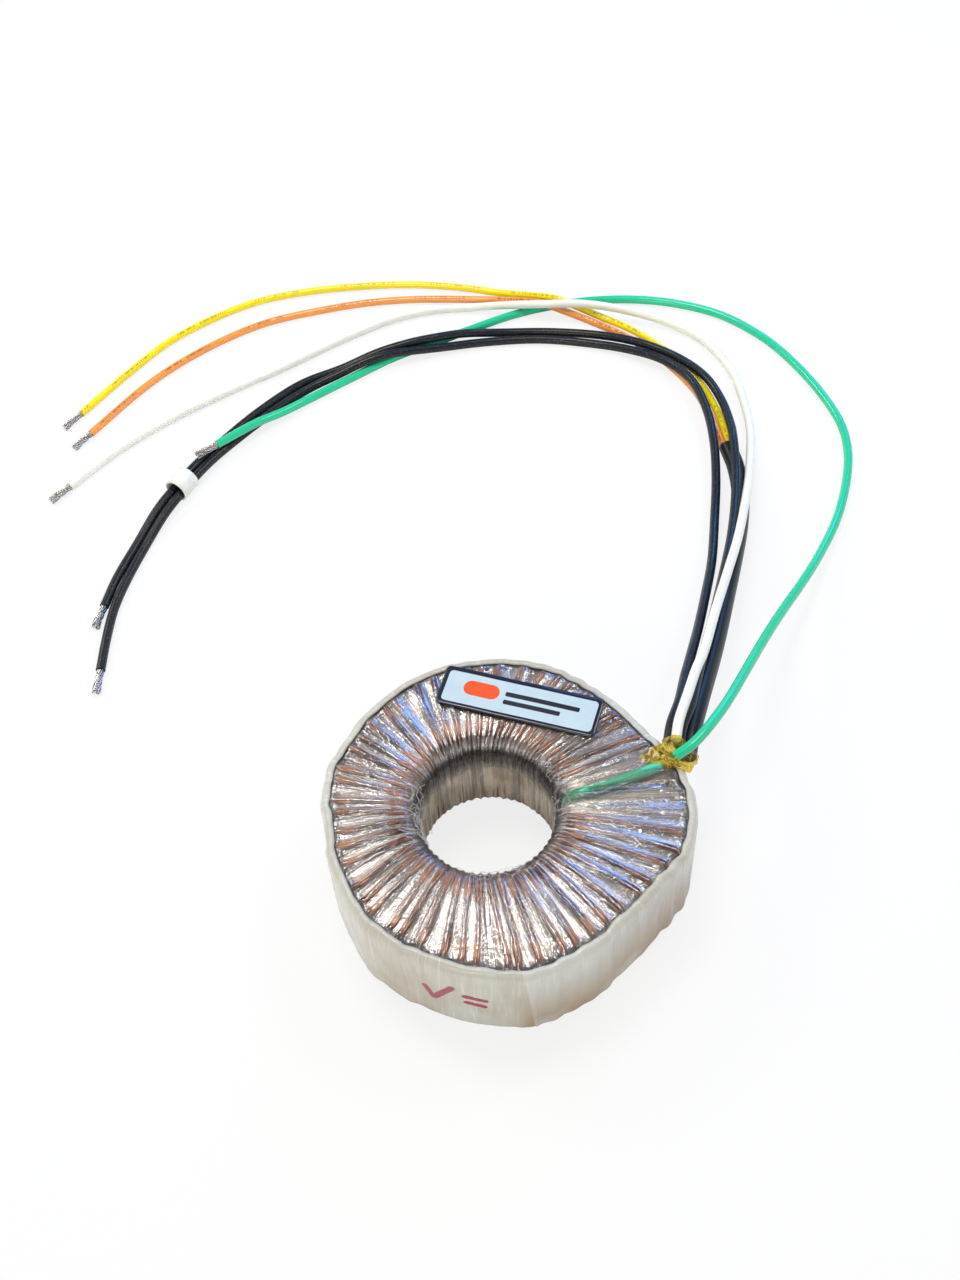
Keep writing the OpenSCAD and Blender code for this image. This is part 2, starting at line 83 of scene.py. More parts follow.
def softbox(name, place, aim, size, power, colour):
    """A lamp with an oblong face, turned to a point."""
    lamp = bpy.data.lights.new(name, "AREA")
    lamp.shape = "RECTANGLE"
    lamp.size, lamp.size_y = size
    lamp.energy = power
    lamp.color = colour
    made = new_object(name, lamp)
    made.location = place
    made.rotation_euler = (Vector(aim) - Vector(place)).to_track_quat("-Z", "Y").to_euler()


window_place = (0.36, 0.8, 0.45)
window_blue = (0.08, 0.32, 1.0)
softbox("overhead", (-0.12, 0.3, 0.95), (0, 0.02, 0), (0.3, 0.3), 3.6, (1.0, 0.98, 0.95))
softbox("back_left", (-0.62, 0.62, 0.72), (0, 0, 0.03), (0.25, 0.25), 2.2, (1.0, 0.99, 0.97))
softbox("front", (-0.35, -0.85, 0.6), (0, 0, 0.02), (0.3, 0.3), 2.0, (1.0, 0.97, 0.93))
softbox("right", (0.5, 0.42, 0.8), (0.02, 0, 0.03), (0.22, 0.22), 1.7, (0.97, 0.98, 1.0))
softbox("window", window_place, (0, 0, 0.03), (0.42, 0.3), 2.9, window_blue)


class Field:
    """What a node gives out. Arithmetic on it adds nodes to its tree, and a comparison gives 1 or 0."""

    def __init__(self, socket):
        self.socket = socket
        self.tree = socket.id_data

    def also(self, output):
        """Another output of the same node."""
        return Field(self.socket.node.outputs[output])

    def by(self, operation, *others):
        """The result of a Math node's operation."""
        return put(self.tree, "ShaderNodeMath", [self, *others], operation=operation)

    __add__ = __radd__ = partialmethod(by, "ADD")
    __sub__ = partialmethod(by, "SUBTRACT")
    __mul__ = __rmul__ = partialmethod(by, "MULTIPLY")
    __truediv__ = partialmethod(by, "DIVIDE")
    __pow__ = partialmethod(by, "POWER")
    __abs__ = partialmethod(by, "ABSOLUTE")
    __lt__ = partialmethod(by, "LESS_THAN")
    __gt__ = partialmethod(by, "GREATER_THAN")
    min = partialmethod(by, "MINIMUM")
    max = partialmethod(by, "MAXIMUM")

    def __rsub__(self, other):
        return put(self.tree, "ShaderNodeMath", [other, self], operation="SUBTRACT")

    def spread(self, low, high, start=0.0, end=1.0, easing="LINEAR"):
        """Runs evenly from start, where the value is low, to end, where it is high."""
        return put(self.tree, "ShaderNodeMapRange", [self, low, high, start, end], interpolation_type=easing)

    def ramp(self, low, high, start=0.0, end=1.0):
        """The same with a gentle start and end."""
        return self.spread(low, high, start, end, "SMOOTHSTEP")

    def blend(self, first, second):
        """The first colour where the value is 0, the second where it is 1."""
        return put(self.tree, "ShaderNodeMix", {0: self, 6: first, 7: second}, output=2, data_type="RGBA")

    def parts(self):
        """The x, y and z of a place."""
        return [Field(part) for part in put(self.tree, "ShaderNodeSeparateXYZ", [self]).socket.node.outputs]

    def stretched(self, factors):
        """A place with each of its coordinates multiplied."""
        return put(self.tree, "ShaderNodeVectorMath", [self, factors], operation="MULTIPLY")

    def scaled(self, factor):
        """A direction made longer."""
        return put(self.tree, "ShaderNodeVectorMath", {0: self, "Scale": factor}, operation="SCALE")

    def mottled(self, scale, detail, distortion=0.0):
        """A cloudy pattern at a place, from 0 to 1."""
        return put(self.tree, "ShaderNodeTexNoise",
                   {"Vector": self, "Scale": scale, "Detail": detail, "Distortion": distortion})


def feed(socket, value):
    """Gives a node's input a link from a field, or a plain value, which for a colour is red, green, blue."""
    if isinstance(value, Field):
        socket.id_data.links.new(value.socket, socket)
    elif socket.type == "RGBA":
        socket.default_value = (*value, 1)
    else:
        socket.default_value = value


def put(tree, kind, inputs=(), output=0, **settings):
    """Adds a node with its settings and its inputs, by name or in order, and gives one of its outputs."""
    made = tree.nodes.new(kind)
    for name, value in settings.items():
        setattr(made, name, value)
    by_name = inputs if isinstance(inputs, dict) else dict(enumerate(inputs))
    for name, value in by_name.items():
        feed(made.inputs[name], value)
    return Field(made.outputs[output])


# Matt things see walls of an even light. Glossy things see them bright low down, and darker overhead and
# in the dusk round the window, so that the window is seen on them by itself.
wall_light = 0.5
ceiling_from, ceiling_full, ceiling_shine = 0.15, 0.75, 0.22
dusk_from, dusk_full, dusk_shine = 0.72, 0.92, 0.25

world = bpy.data.worlds.new("room")
world.use_nodes = True
bpy.context.scene.world = world
room = world.node_tree
glossy = put(room, "ShaderNodeLightPath", output="Is Glossy Ray")
mirrored = glossy.max(glossy.also("Is Transmission Ray"))
gaze = put(room, "ShaderNodeTexCoord", output="Generated")
to_window = put(room, "ShaderNodeVectorMath", [gaze, Vector(window_place).normalized()],
                output="Value", operation="DOT_PRODUCT")
dusk = to_window.ramp(dusk_from, dusk_full, 1.0, dusk_shine)
ceiling = gaze.parts()[2].ramp(ceiling_from, ceiling_full, 1.0, ceiling_shine)
lit = mirrored * (ceiling * dusk - wall_light) + wall_light
feed(room.nodes["Background"].inputs["Strength"], lit.max(glossy.also("Is Camera Ray")))
feed(room.nodes["Background"].inputs["Color"], (1, 1, 1))


def set_shader(shader, **values):
    """Feeds a shader's inputs by their names, with _ for a space."""
    for name, value in values.items():
        feed(shader.inputs[name.replace("_", " ").title().replace("Ior", "IOR")], value)


def new_material(name, **values):
    """A material and its Principled shader, with values as set_shader takes them."""
    made = bpy.data.materials.new(name)
    made.use_nodes = True
    shader = made.node_tree.nodes["Principled BSDF"]
    set_shader(shader, **values)
    return made, shader


def mix_to_surface(share, first, second):
    """Shows two shaders mixed: the first where the share is 0, the second where it is 1."""
    both = put(share.tree, "ShaderNodeMixShader", [share, first, second])
    feed(share.tree.nodes["Material Output"].inputs["Surface"], both)


# The camera sees most of the floor as plain white light, so that it runs on into the room.
floor_half = 4
floor_white = 0.8
floor_mesh = bpy.data.meshes.new("floor")
floor_mesh.from_pydata(
    [(x * floor_half, y * floor_half, 0) for x, y in ((-1, -1), (1, -1), (1, 1), (-1, 1))],
    [], [(0, 1, 2, 3)])
new_object("floor", floor_mesh)
floor_paint, shader = new_material("floor_paint")
tree = floor_paint.node_tree
tree.nodes.remove(shader)
white_share = put(tree, "ShaderNodeLightPath", output="Is Camera Ray") * floor_white
matt = put(tree, "ShaderNodeBsdfDiffuse", [(0.86, 0.86, 0.85)])
glow = put(tree, "ShaderNodeEmission", [(1, 1, 1), 1.0])
mix_to_surface(white_share, matt, glow)
floor_mesh.materials.append(floor_paint)


# ---- Flying leads ----
# Six stranded wires in PVC insulation leave the rim through the gathered tape and lie along the bench.
# A black sleeve covers the yellow and the orange one as far as the floor.

exit_place = Vector((0.056, 0.0176, 0))
exit_turn = math.radians(15)
exit_straight = 0.008
exit_aim = Vector((math.sin(exit_turn), math.cos(exit_turn), 0))
exit_side = Vector((math.cos(exit_turn), -math.sin(exit_turn), 0))
mouth_straight = 0.01


def from_exit(aside, height):
    """The first two points of a lead: its end in the tape, and a straight start."""
    start = exit_place + exit_side * aside + Vector((0, 0, height))
    return [start, start + exit_aim * exit_straight]


def from_mouth(aside, above):
    """The same where a thin lead leaves the sleeve."""
    aim = (Vector(sleeve_route[-1]) - Vector(sleeve_route[-2])).normalized()
    side = aim.cross(Vector((0, 0, 1))).normalized()
    start = Vector(sleeve_route[-1]) + side * aside + side.cross(aim) * above
    return [start, start + aim * mouth_straight]


black_a_route = from_exit(-0.0027, 0.0415) + [
    (0.0595, 0.036, 0.0395), (0.063, 0.048, 0.035), (0.0675, 0.062, 0.0295), (0.0725, 0.078, 0.0225),
    (0.078, 0.097, 0.0155), (0.084, 0.119, 0.0088), (0.0885, 0.142, 0.0052), (0.092, 0.163, 0.005),
    (0.0937, 0.182, 0.006), (0.0932, 0.201, 0.0057), (0.089, 0.219, 0.0051), (0.079, 0.231, 0.0051),
    (0.066, 0.24, 0.0035), (0.05, 0.247, 0.0019), (0.029, 0.2515, 0.0019), (0.007, 0.252, 0.002),
    (-0.014, 0.2495, 0.003), (-0.033, 0.2455, 0.0054), (-0.045, 0.242, 0.0054), (-0.058, 0.237, 0.0032),
    (-0.072, 0.23, 0.0019), (-0.088, 0.2165, 0.0019), (-0.102, 0.2025, 0.0021), (-0.1112, 0.1906, 0.0034),
    (-0.119, 0.1786, 0.0039), (-0.1268, 0.166, 0.0034), (-0.134, 0.151, 0.0019), (-0.14, 0.135, 0.0019),
    (-0.144, 0.121, 0.0019), (-0.146, 0.106, 0.0019), (-0.147, 0.092, 0.0019),
]
black_b_route = from_exit(0.0009, 0.0402) + [
    (0.0633, 0.035, 0.0385), (0.067, 0.047, 0.035), (0.0715, 0.061, 0.03), (0.0785, 0.082, 0.0235),
    (0.086, 0.106, 0.017), (0.092, 0.126, 0.013), (0.0965, 0.145, 0.0106), (0.0995, 0.163, 0.0093),
    (0.101, 0.179, 0.009), (0.1013, 0.19, 0.0077), (0.1, 0.206, 0.0052), (0.095, 0.22, 0.0052),
    (0.085, 0.232, 0.0052), (0.071, 0.242, 0.005), (0.055, 0.2505, 0.0028), (0.034, 0.2555, 0.0019),
    (0.012, 0.257, 0.0022), (-0.003, 0.2555, 0.0046), (-0.014, 0.2535, 0.0055), (-0.027, 0.251, 0.0055),
    (-0.041, 0.2476, 0.0042), (-0.056, 0.242, 0.002), (-0.074, 0.234, 0.0019), (-0.091, 0.22, 0.0019),
    (-0.105, 0.205, 0.0021), (-0.1144, 0.1928, 0.0034), (-0.1222, 0.1808, 0.0039), (-0.13, 0.1683, 0.0034),
    (-0.1375, 0.152, 0.0019), (-0.144, 0.136, 0.0019), (-0.148, 0.122, 0.0019),
]
white_route = from_exit(-0.0003, 0.0442) + [
    (0.062, 0.036, 0.0425), (0.0665, 0.048, 0.0388), (0.0715, 0.06, 0.0345), (0.079, 0.082, 0.0275),
    (0.087, 0.104, 0.021), (0.0945, 0.125, 0.0158), (0.1018, 0.15, 0.0108), (0.105, 0.163, 0.0082),
    (0.108, 0.178, 0.005), (0.1098, 0.19, 0.003), (0.11, 0.204, 0.0019), (0.1075, 0.224, 0.0019),
    (0.099, 0.243, 0.0019), (0.085, 0.255, 0.0028), (0.067, 0.262, 0.0054), (0.049, 0.2655, 0.0076),
    (0.032, 0.267, 0.0076), (0.015, 0.2713, 0.0046), (0, 0.274, 0.0022), (-0.018, 0.274, 0.0019),
    (-0.037, 0.269, 0.0019), (-0.059, 0.258, 0.0019), (-0.083, 0.244, 0.0019), (-0.106, 0.232, 0.0019),
    (-0.128, 0.219, 0.0019), (-0.148, 0.204, 0.0019), (-0.167, 0.185, 0.0019),
]
green_route = [
    (0.054, 0.011, 0.0438), (0.061, 0.016, 0.0435), (0.068, 0.024, 0.042), (0.076, 0.036, 0.038),
    (0.085, 0.052, 0.032), (0.095, 0.07, 0.025), (0.105, 0.087, 0.018), (0.117, 0.106, 0.011),
    (0.127, 0.123, 0.006), (0.136, 0.14, 0.003), (0.143, 0.158, 0.002), (0.147, 0.175, 0.0019),
    (0.147, 0.191, 0.0019), (0.142, 0.209, 0.0019), (0.134, 0.227, 0.0019), (0.124, 0.243, 0.0019),
    (0.109, 0.258, 0.0019), (0.092, 0.267, 0.0019), (0.074, 0.272, 0.0019), (0.055, 0.2735, 0.0019),
    (0.037, 0.272, 0.0019), (0.019, 0.268, 0.0019), (0.002, 0.2615, 0.0019), (-0.016, 0.254, 0.0019),
    (-0.034, 0.2465, 0.0019), (-0.053, 0.2355, 0.0019), (-0.07, 0.225, 0.0022), (-0.081, 0.217, 0.0036),
    (-0.092, 0.2095, 0.0056), (-0.107, 0.1985, 0.0064),
]
sleeve_route = from_exit(0.0036, 0.0349) + [
    (0.0645, 0.033, 0.0335), (0.069, 0.046, 0.03), (0.0742, 0.061, 0.0245), (0.0794, 0.077, 0.0194),
    (0.0852, 0.096, 0.014), (0.091, 0.115, 0.0096), (0.097, 0.136, 0.0058), (0.1005, 0.154, 0.004),
    (0.101, 0.169, 0.0036), (0.0993, 0.181, 0.0035),
]
yellow_route = from_mouth(0.0016, -0.0005) + [
    (0.098, 0.203, 0.0021), (0.0935, 0.219, 0.0017), (0.0835, 0.237, 0.0017), (0.0695, 0.253, 0.0017),
    (0.057, 0.2625, 0.0017), (0.047, 0.268, 0.0036), (0.038, 0.2723, 0.0054), (0.028, 0.277, 0.0038),
    (0.014, 0.2825, 0.0017), (-0.004, 0.288, 0.0017), (-0.026, 0.292, 0.0017), (-0.048, 0.293, 0.0017),
    (-0.07, 0.292, 0.0017), (-0.092, 0.288, 0.0017), (-0.112, 0.279, 0.0017), (-0.131, 0.266, 0.0017),
    (-0.147, 0.249, 0.0017), (-0.166, 0.226, 0.0017),
]
orange_route = from_mouth(-0.0016, -0.0005) + [
    (0.0946, 0.202, 0.0021), (0.09, 0.217, 0.0017), (0.08, 0.234, 0.0017), (0.066, 0.2495, 0.0017),
    (0.052, 0.2605, 0.0017), (0.041, 0.266, 0.0036), (0.0305, 0.2705, 0.0053), (0.02, 0.2745, 0.0038),
    (0.006, 0.279, 0.0017), (-0.022, 0.282, 0.0017), (-0.044, 0.282, 0.0017), (-0.066, 0.279, 0.0017),
    (-0.088, 0.274, 0.0017), (-0.107, 0.265, 0.0017), (-0.126, 0.252, 0.0017), (-0.142, 0.237, 0.0017),
    (-0.161, 0.214, 0.0017),
]


def smooth_line(route, steps=8):
    """Points on a smooth curve through a route."""
    points = [Vector(p) for p in route]
    ends = [2 * points[0] - points[1]] + points + [2 * points[-1] - points[-2]]
    line = []
    for i in range(1, len(ends) - 2):
        a, b, c, d = ends[i - 1:i + 3]
        for k in range(steps):
            t = k / steps
            line.append(0.5 * (2 * b + (c - a) * t + (2 * a - 5 * b + 4 * c - d) * t ** 2
                               + (3 * b - a - 3 * c + d) * t ** 3))
    return line + [points[-1]]


def new_tree(name, material, *sizes, counts=()):
    """A Geometry Nodes tree, and its inputs by name: a geometry, its sizes, its counts and a material."""
    tree = bpy.data.node_groups.new(name, "GeometryNodeTree")
    kinds = {"Geometry": "Geometry"} | dict.fromkeys(sizes, "Float") | dict.fromkeys(counts, "Int")
    for label, kind in (kinds | {material: "Material"}).items():
        tree.interface.new_socket(label, in_out="INPUT", socket_type="NodeSocket" + kind)
    tree.interface.new_socket("Geometry", in_out="OUTPUT", socket_type="NodeSocketGeometry")
    given = tree.nodes.new("NodeGroupInput").outputs
    return tree, {label: Field(given[label]) for label in (*kinds, material)}


def end_tree(geometry, material):
    """Ends a tree: the geometry made real, in its material."""
    whole = put(geometry.tree, "GeometryNodeRealizeInstances", {"Geometry": geometry})
    coated = put(geometry.tree, "GeometryNodeSetMaterial", {"Geometry": whole, "Material": material})
    feed(geometry.tree.nodes.new("NodeGroupOutput").inputs["Geometry"], coated)


def shape_by(name, mesh, tree, values):
    """Runs a tree on a mesh and gives a plain object, with the modifier gone."""
    source = new_object(name + "_source", mesh)
    modifier = source.modifiers.new("shape", "NODES")
    modifier.node_group = tree
    for item in tree.interface.items_tree:
        if item.item_type == "SOCKET" and item.in_out == "INPUT" and item.name in values:
            modifier[item.identifier] = values[item.name]
    source.update_tag()
    bpy.context.view_layer.update()
    evaluated = source.evaluated_get(bpy.context.evaluated_depsgraph_get())
    made = bpy.data.meshes.new_from_object(evaluated)
    made.name = name
    bpy.data.objects.remove(source)
    return new_object(name, made)


def mesh_line(name, line):
    """A mesh of edges along a line, for a tree to sweep."""
    mesh = bpy.data.meshes.new(name + "_line")
    mesh.from_pydata([tuple(p) for p in line], [(i, i + 1) for i in range(len(line) - 1)], [])
    return mesh


def circle(tree, sides, radius):
    """A round profile."""
    return put(tree, "GeometryNodeCurvePrimitiveCircle", {"Resolution": sides, "Radius": radius})


def swept(path, profile):
    """A tube along a path, closed at its ends."""
    return put(path.tree, "GeometryNodeCurveToMesh",
               {"Curve": path, "Profile Curve": profile, "Fill Caps": True})


def stored(geometry, name, value, kind="FLOAT"):
    """A geometry that keeps a value at each of its points, for a material to read."""
    return put(geometry.tree, "GeometryNodeStoreNamedAttribute",
               {"Geometry": geometry, "Name": name, "Value": value}, data_type=kind, domain="POINT")


tube_tree, tube_in = new_tree("insulated_lead", "Insulation", "Radius", "Ring Step", counts=["Sides"])
spine = put(tube_tree, "GeometryNodeMeshToCurve", {"Mesh": tube_in["Geometry"]})
rings = put(tube_tree, "GeometryNodeResampleCurve",
            {"Curve": spine, "Length": tube_in["Ring Step"]}, mode="LENGTH")
marked = stored(rings, "along", put(tube_tree, "GeometryNodeSplineParameter", output="Length"))
jacket = circle(tube_tree, tube_in["Sides"], tube_in["Radius"])
marked_jacket = stored(jacket, "around", put(tube_tree, "GeometryNodeInputPosition"), "FLOAT_VECTOR")
end_tree(swept(marked, marked_jacket), tube_in["Insulation"])


def attribute(shader, name, output="Fac"):
    """A value that a piece's mesh keeps at its points, in its material."""
    return put(shader.id_data, "ShaderNodeAttribute", output=output, attribute_name=name)


def place_on(shader):
    """The place on a piece, in its own coordinates."""
    return put(shader.id_data, "ShaderNodeTexCoord", output="Object")


def bumped(shader, height, strength, distance):
    """Makes a finish uneven by a height, and gives the uneven surface's direction."""
    uneven = put(height.tree, "ShaderNodeBump",
                 {"Height": height, "Strength": strength, "Distance": distance})
    set_shader(shader, normal=uneven)
    return uneven


# The print comes as words of upright strokes, some of them left out, on one side of the lead.
print_strokes = 1900
print_words = 26
word_share = 0.62
left_out = 0.42
print_side_half = 0.3
speck_scale = 2200
speck_from = 0.7
strand_lay = 700


def insulation(name, colour, print_colour, print_side,
               rough=0.22, specks=0.0, coat=0.3, specular=0.5, sheen=(1, 1, 1)):
    """Glossy extruded PVC with a faint lay of the strands and a broken printed line."""
    made, shader = new_material(name, roughness=rough, coat_weight=coat, coat_roughness=0.12,
                                specular_ior_level=specular, specular_tint=sheen)
    along = attribute(shader, "along")
    x, y, _ = attribute(shader, "around", "Vector").parts()
    angle = y.by("ARCTAN2", x)
    stroke = (along * print_strokes).by("FLOOR")
    drawn = put(along.tree, "ShaderNodeTexWhiteNoise", {"W": stroke}, output="Value", noise_dimensions="1D")
    in_word = (along * print_words).by("FRACT") < word_share
    printed = (drawn > left_out) * in_word * (abs(angle - print_side) < print_side_half)
    where = place_on(shader)
    cloud = where.mottled(160, 3)
    body = cloud.blend(tuple(c * 0.88 for c in colour), colour)
    dusty = (where.mottled(speck_scale, 1) > speck_from) * specks
    set_shader(shader, base_color=printed.max(dusty).blend(body, print_colour))
    lay = (along * strand_lay + angle * 3).by("SINE")
    bumped(shader, lay * 0.12 + cloud, 0.25, 0.00025)
    return made


warm_sheen = (1.0, 0.8, 0.5)
black_pvc = insulation("black_pvc", (0.006, 0.014, 0.025), (0.5, 0.52, 0.55), 1.2,
                       rough=0.3, specks=0.35, coat=0.0, specular=0.4, sheen=warm_sheen)
white_pvc = insulation("white_pvc", (0.95, 0.94, 0.84), (0.45, 0.45, 0.42), 2.4)
green_pvc = insulation("green_pvc", (0.012, 0.62, 0.31), (0.01, 0.16, 0.12), 1.4)
yellow_pvc = insulation("yellow_pvc", (1.0, 0.86, 0.0), (0.6, 0.42, 0.02), -1.9)
orange_pvc = insulation("orange_pvc", (0.98, 0.36, 0.07), (0.5, 0.17, 0.05), -1.9)
sleeve_pvc = insulation("sleeve_pvc", (0.008, 0.016, 0.027), (0.02, 0.026, 0.035), 0.0,
                        rough=0.32, specks=0.35, coat=0.0, specular=0.35, sheen=warm_sheen)


def dress(piece, node):
    """Smooths a piece, puts it on the one body, and lets it stand for its CAD node."""
    for face in piece.data.polygons:
        face.use_smooth = True
    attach(piece, "root")
    if node:
        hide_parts(node)


def lead(name, route, diameter, paint, node, material_slot, sides=20):
    """A lead's tube along its route, standing for its CAD node. Gives the piece, its line and diameter."""
    line = smooth_line(route)
    made = shape_by(name, mesh_line(name, line), tube_tree, {
        "Radius": diameter / 2, "Ring Step": diameter * 0.45, "Sides": sides, "Insulation": paint})
    dress(made, node)
    return made, line, diameter


black_lead_d = 0.0036
lead_d = 0.0035
thin_lead_d = 0.0031
sleeve_d = 0.007
leads = {}
for name, route, diameter, paint in (
        ("black_a", black_a_route, black_lead_d, black_pvc),
        ("black_b", black_b_route, black_lead_d, black_pvc),
        ("white", white_route, lead_d, white_pvc),
        ("green", green_route, lead_d, green_pvc),
        ("yellow", yellow_route, thin_lead_d, yellow_pvc),
        ("orange", orange_route, thin_lead_d, orange_pvc)):
    colour = name.split("_")[0]
    leads[name] = lead(f"lead_{name}_wire", route, diameter, paint, "lead_" + name, colour + "_insulation")
sleeve = lead("black_sleeve_tube", sleeve_route, sleeve_d, sleeve_pvc, "black_sleeve", "sleeve_plastic", 28)


# ---- Bared ends ----
# Each lead's insulation is stripped for a centimetre, down to its tinned copper strands.
# The strands keep their twist and open a little at the cut.

tip_long = 0.01
strand_count = 19
strand_r = 0.0002
bundle_r = 0.00128
strand_twist = 2.8
strand_fray = 0.7
golden_turn = 2.39996

strand_tree, strand_in = new_tree("twisted_strands", "Tinned", "Length", "Strand Radius", "Bundle Radius",
                                  "Twist", "Fray", "Seed", counts=["Strands"])
single = put(strand_tree, "GeometryNodeCurvePrimitiveLine", {"Start": (0, 0, 0), "End": (0, 0, 1)})
bent = put(strand_tree, "GeometryNodeResampleCurve", {"Curve": single, "Count": 12})
copies = put(strand_tree, "GeometryNodeDuplicateElements",
             {"Geometry": bent, "Amount": strand_in["Strands"]}, domain="SPLINE")
number = copies.also("Duplicate Index")
share = put(strand_tree, "GeometryNodeSplineParameter", output="Factor")
spread = put(strand_tree, "ShaderNodeTexNoise", {"W": number * 0.73 + strand_in["Seed"], "Scale": 1.0},
             noise_dimensions="1D")
filled = ((number + 0.5) / strand_in["Strands"]).by("SQRT")
opening = share ** 2.0 * (spread * strand_in["Fray"])
reach = (filled + opening) * strand_in["Bundle Radius"]
turn = share * strand_in["Twist"] + number * golden_turn
cut = spread * 0.12 + 0.92
strand_at = put(strand_tree, "ShaderNodeCombineXYZ", [
    reach * turn.by("COSINE"), reach * turn.by("SINE"), share * cut * strand_in["Length"]])
placed = put(strand_tree, "GeometryNodeSetPosition", {"Geometry": copies, "Position": strand_at})
end_tree(swept(placed, circle(strand_tree, 8, strand_in["Strand Radius"])), strand_in["Tinned"])

tinned, shader = new_material("tinned_copper", metallic=1.0)
tarnish = place_on(shader).mottled(900, 3)
set_shader(shader, base_color=tarnish.blend((0.42, 0.36, 0.3), (0.82, 0.81, 0.79)),
           roughness=tarnish * 0.3 + 0.15)

tips = {}
for seed, (name, (_, line, diameter)) in enumerate(leads.items()):
    aim = (line[-1] - line[-2]).normalized()
    thin = min(diameter / lead_d, 1.0)
    made = shape_by("strands_" + name, bpy.data.meshes.new("strands"), strand_tree, {
        "Strands": strand_count, "Length": tip_long, "Strand Radius": strand_r * thin,
        "Bundle Radius": bundle_r * thin, "Twist": strand_twist, "Fray": strand_fray,
        "Seed": float(seed * 7), "Tinned": tinned})
    made.data.transform(Matrix.Translation(line[-1]) @ aim.to_track_quat("Z", "Y").to_matrix().to_4x4())
    lowest = min(v.co.z for v in made.data.vertices)
    made.data.transform(Matrix.Translation((0, 0, max(-lowest, 0))))
    dress(made, "tip_" + name)
    tips[name] = made


# ---- The ring's form ----
# The hand-wound ring is lumpy outside and round inside, and its hole lies off its middle.
# Its outline is read from the side band's CAD and from the hole's mount, so that all layers follow it.

hole = frame["record"]["mounts"][0]
hole_at = Vector(hole["pos_m"]).xy
hole_r = hole["dims"]["r_mm"] / 1000
ring_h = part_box("label")[0].z
ring_at = Vector((-0.002, 0.0003))
rim_edge_r = 0.0045
hole_edge_r = 0.008
least_edge_r = 0.0005
film_in = 0.00137
wire_depth = 0.00145
stack_depth = 0.00287
rim_smoothing = 6


def off_by(angle, other):
    """How far two angles in degrees lie apart, the short way round."""
    return abs((angle - other + 180) % 360 - 180)


outline = {}
for v in frame["nodes"]["side_band"].data.vertices:
    out = v.co.xy - ring_at
    angle = round(math.degrees(math.atan2(out.y, out.x)), 1)
    outline[angle] = max(out.length, outline.get(angle, 0))


def smoothed_rim(angle):
    """The side band's distance from the ring's middle at an angle in degrees, smoothed."""
    total = 0
    weights = 0
    for known, distance in sorted(outline.items()):
        away = off_by(known, angle)
        if away < rim_smoothing:
            weight = (1 - away / rim_smoothing) ** 2
            total += distance * weight
            weights += weight
    return total / weights


rim_r = [smoothed_rim(angle) for angle in range(-180, 180)]


def turned(angle):
    """The direction of an angle in degrees."""
    turn = math.radians(angle)
    return Vector((math.cos(turn), math.sin(turn)))


def rim_point(angle, depth):
    """The rim at an angle, that far inside the side band."""
    low = math.floor(angle)
    part = angle - low
    r = rim_r[(low + 180) % 360] * (1 - part) + rim_r[(low + 181) % 360] * part
    return ring_at + (r - depth) * turned(angle)


def hole_point(angle, depth):
    """The hole's wall at an angle, that far inside the film."""
    return hole_at + (hole_r + depth) * turned(angle)


# A section of the ring counts 12 steps: up the rim, inwards over the top, down the hole and back outwards
# underneath. Each wall, the top and the underside take one step, and each rounded corner takes two.
section_steps = 12
rim_top, top_outer, top_inner, hole_top, hole_foot, underside = 3, 5, 6, 8, 9, 11


def ring_loop(angle, depth, corner=6, side=4, top=14, low=6):
    """A section of the wound ring at an angle and depth, as (point, share of the steps, way along).

    The last four say how many spans a corner, a wall, the top and the underside are cut into.
    """
    rim_corner = max(rim_edge_r - depth, least_edge_r)
    hole_corner = max(hole_edge_r - depth, least_edge_r)
    high = ring_h - depth
    inner = hole_point(angle, depth)
    outer = rim_point(angle, film_in + depth)
    aim = (outer - inner).normalized()

    def arc(at_rim, r, base, sign, start, end, from_step):
        """A rounded corner of radius r. Its turn is 90 where it is level and 0 where it is upright."""
        found = []
        for step in [k / corner for k in range(corner + 1)]:
            t = math.radians(start + (end - start) * step)
            inset = r * (1 - math.cos(t))
            at = outer - aim * inset if at_rim else inner + aim * inset
            z = base + sign * r * (1 - math.sin(t))
            found.append((Vector((at.x, at.y, z)), (from_step + 2 * step) / section_steps))
        return found

    arcs = [
        arc(True, rim_corner, depth, 1, 90, 0, 0),
        arc(True, rim_corner, high, -1, 0, 90, rim_top),
        arc(False, hole_corner, high, -1, 90, 0, top_inner),
        arc(False, hole_corner, depth, 1, 0, 90, hole_foot)]
    loop = []
    for part, flat in enumerate((side, top, side, low)):
        loop += arcs[part]
        a, share_a = arcs[part][-1]
        b, share_b = arcs[(part + 1) % 4][0]
        share_b = share_b if part < 3 else 1
        loop += [(a.lerp(b, k / flat), share_a + (share_b - share_a) * k / flat) for k in range(1, flat)]
    way = [0]
    for (a, _), (b, _) in zip(loop, loop[1:]):
        way.append(way[-1] + (b - a).length)
    return [(p, share, w) for (p, share), w in zip(loop, way)]


def ring_skin(name, loops, closed=True):
    """A mesh over loops of points round the ring, or over open strips of them."""
    count = len(loops[0])
    total = len(loops)
    spans = count if closed else count - 1
    faces = [(i * count + j, (i + 1) % total * count + j,
              (i + 1) % total * count + (j + 1) % count, i * count + (j + 1) % count)
             for i in range(total) for j in range(spans)]
    mesh = bpy.data.meshes.new(name)
    mesh.from_pydata([tuple(p) for loop in loops for p in loop], [], faces)
    return mesh


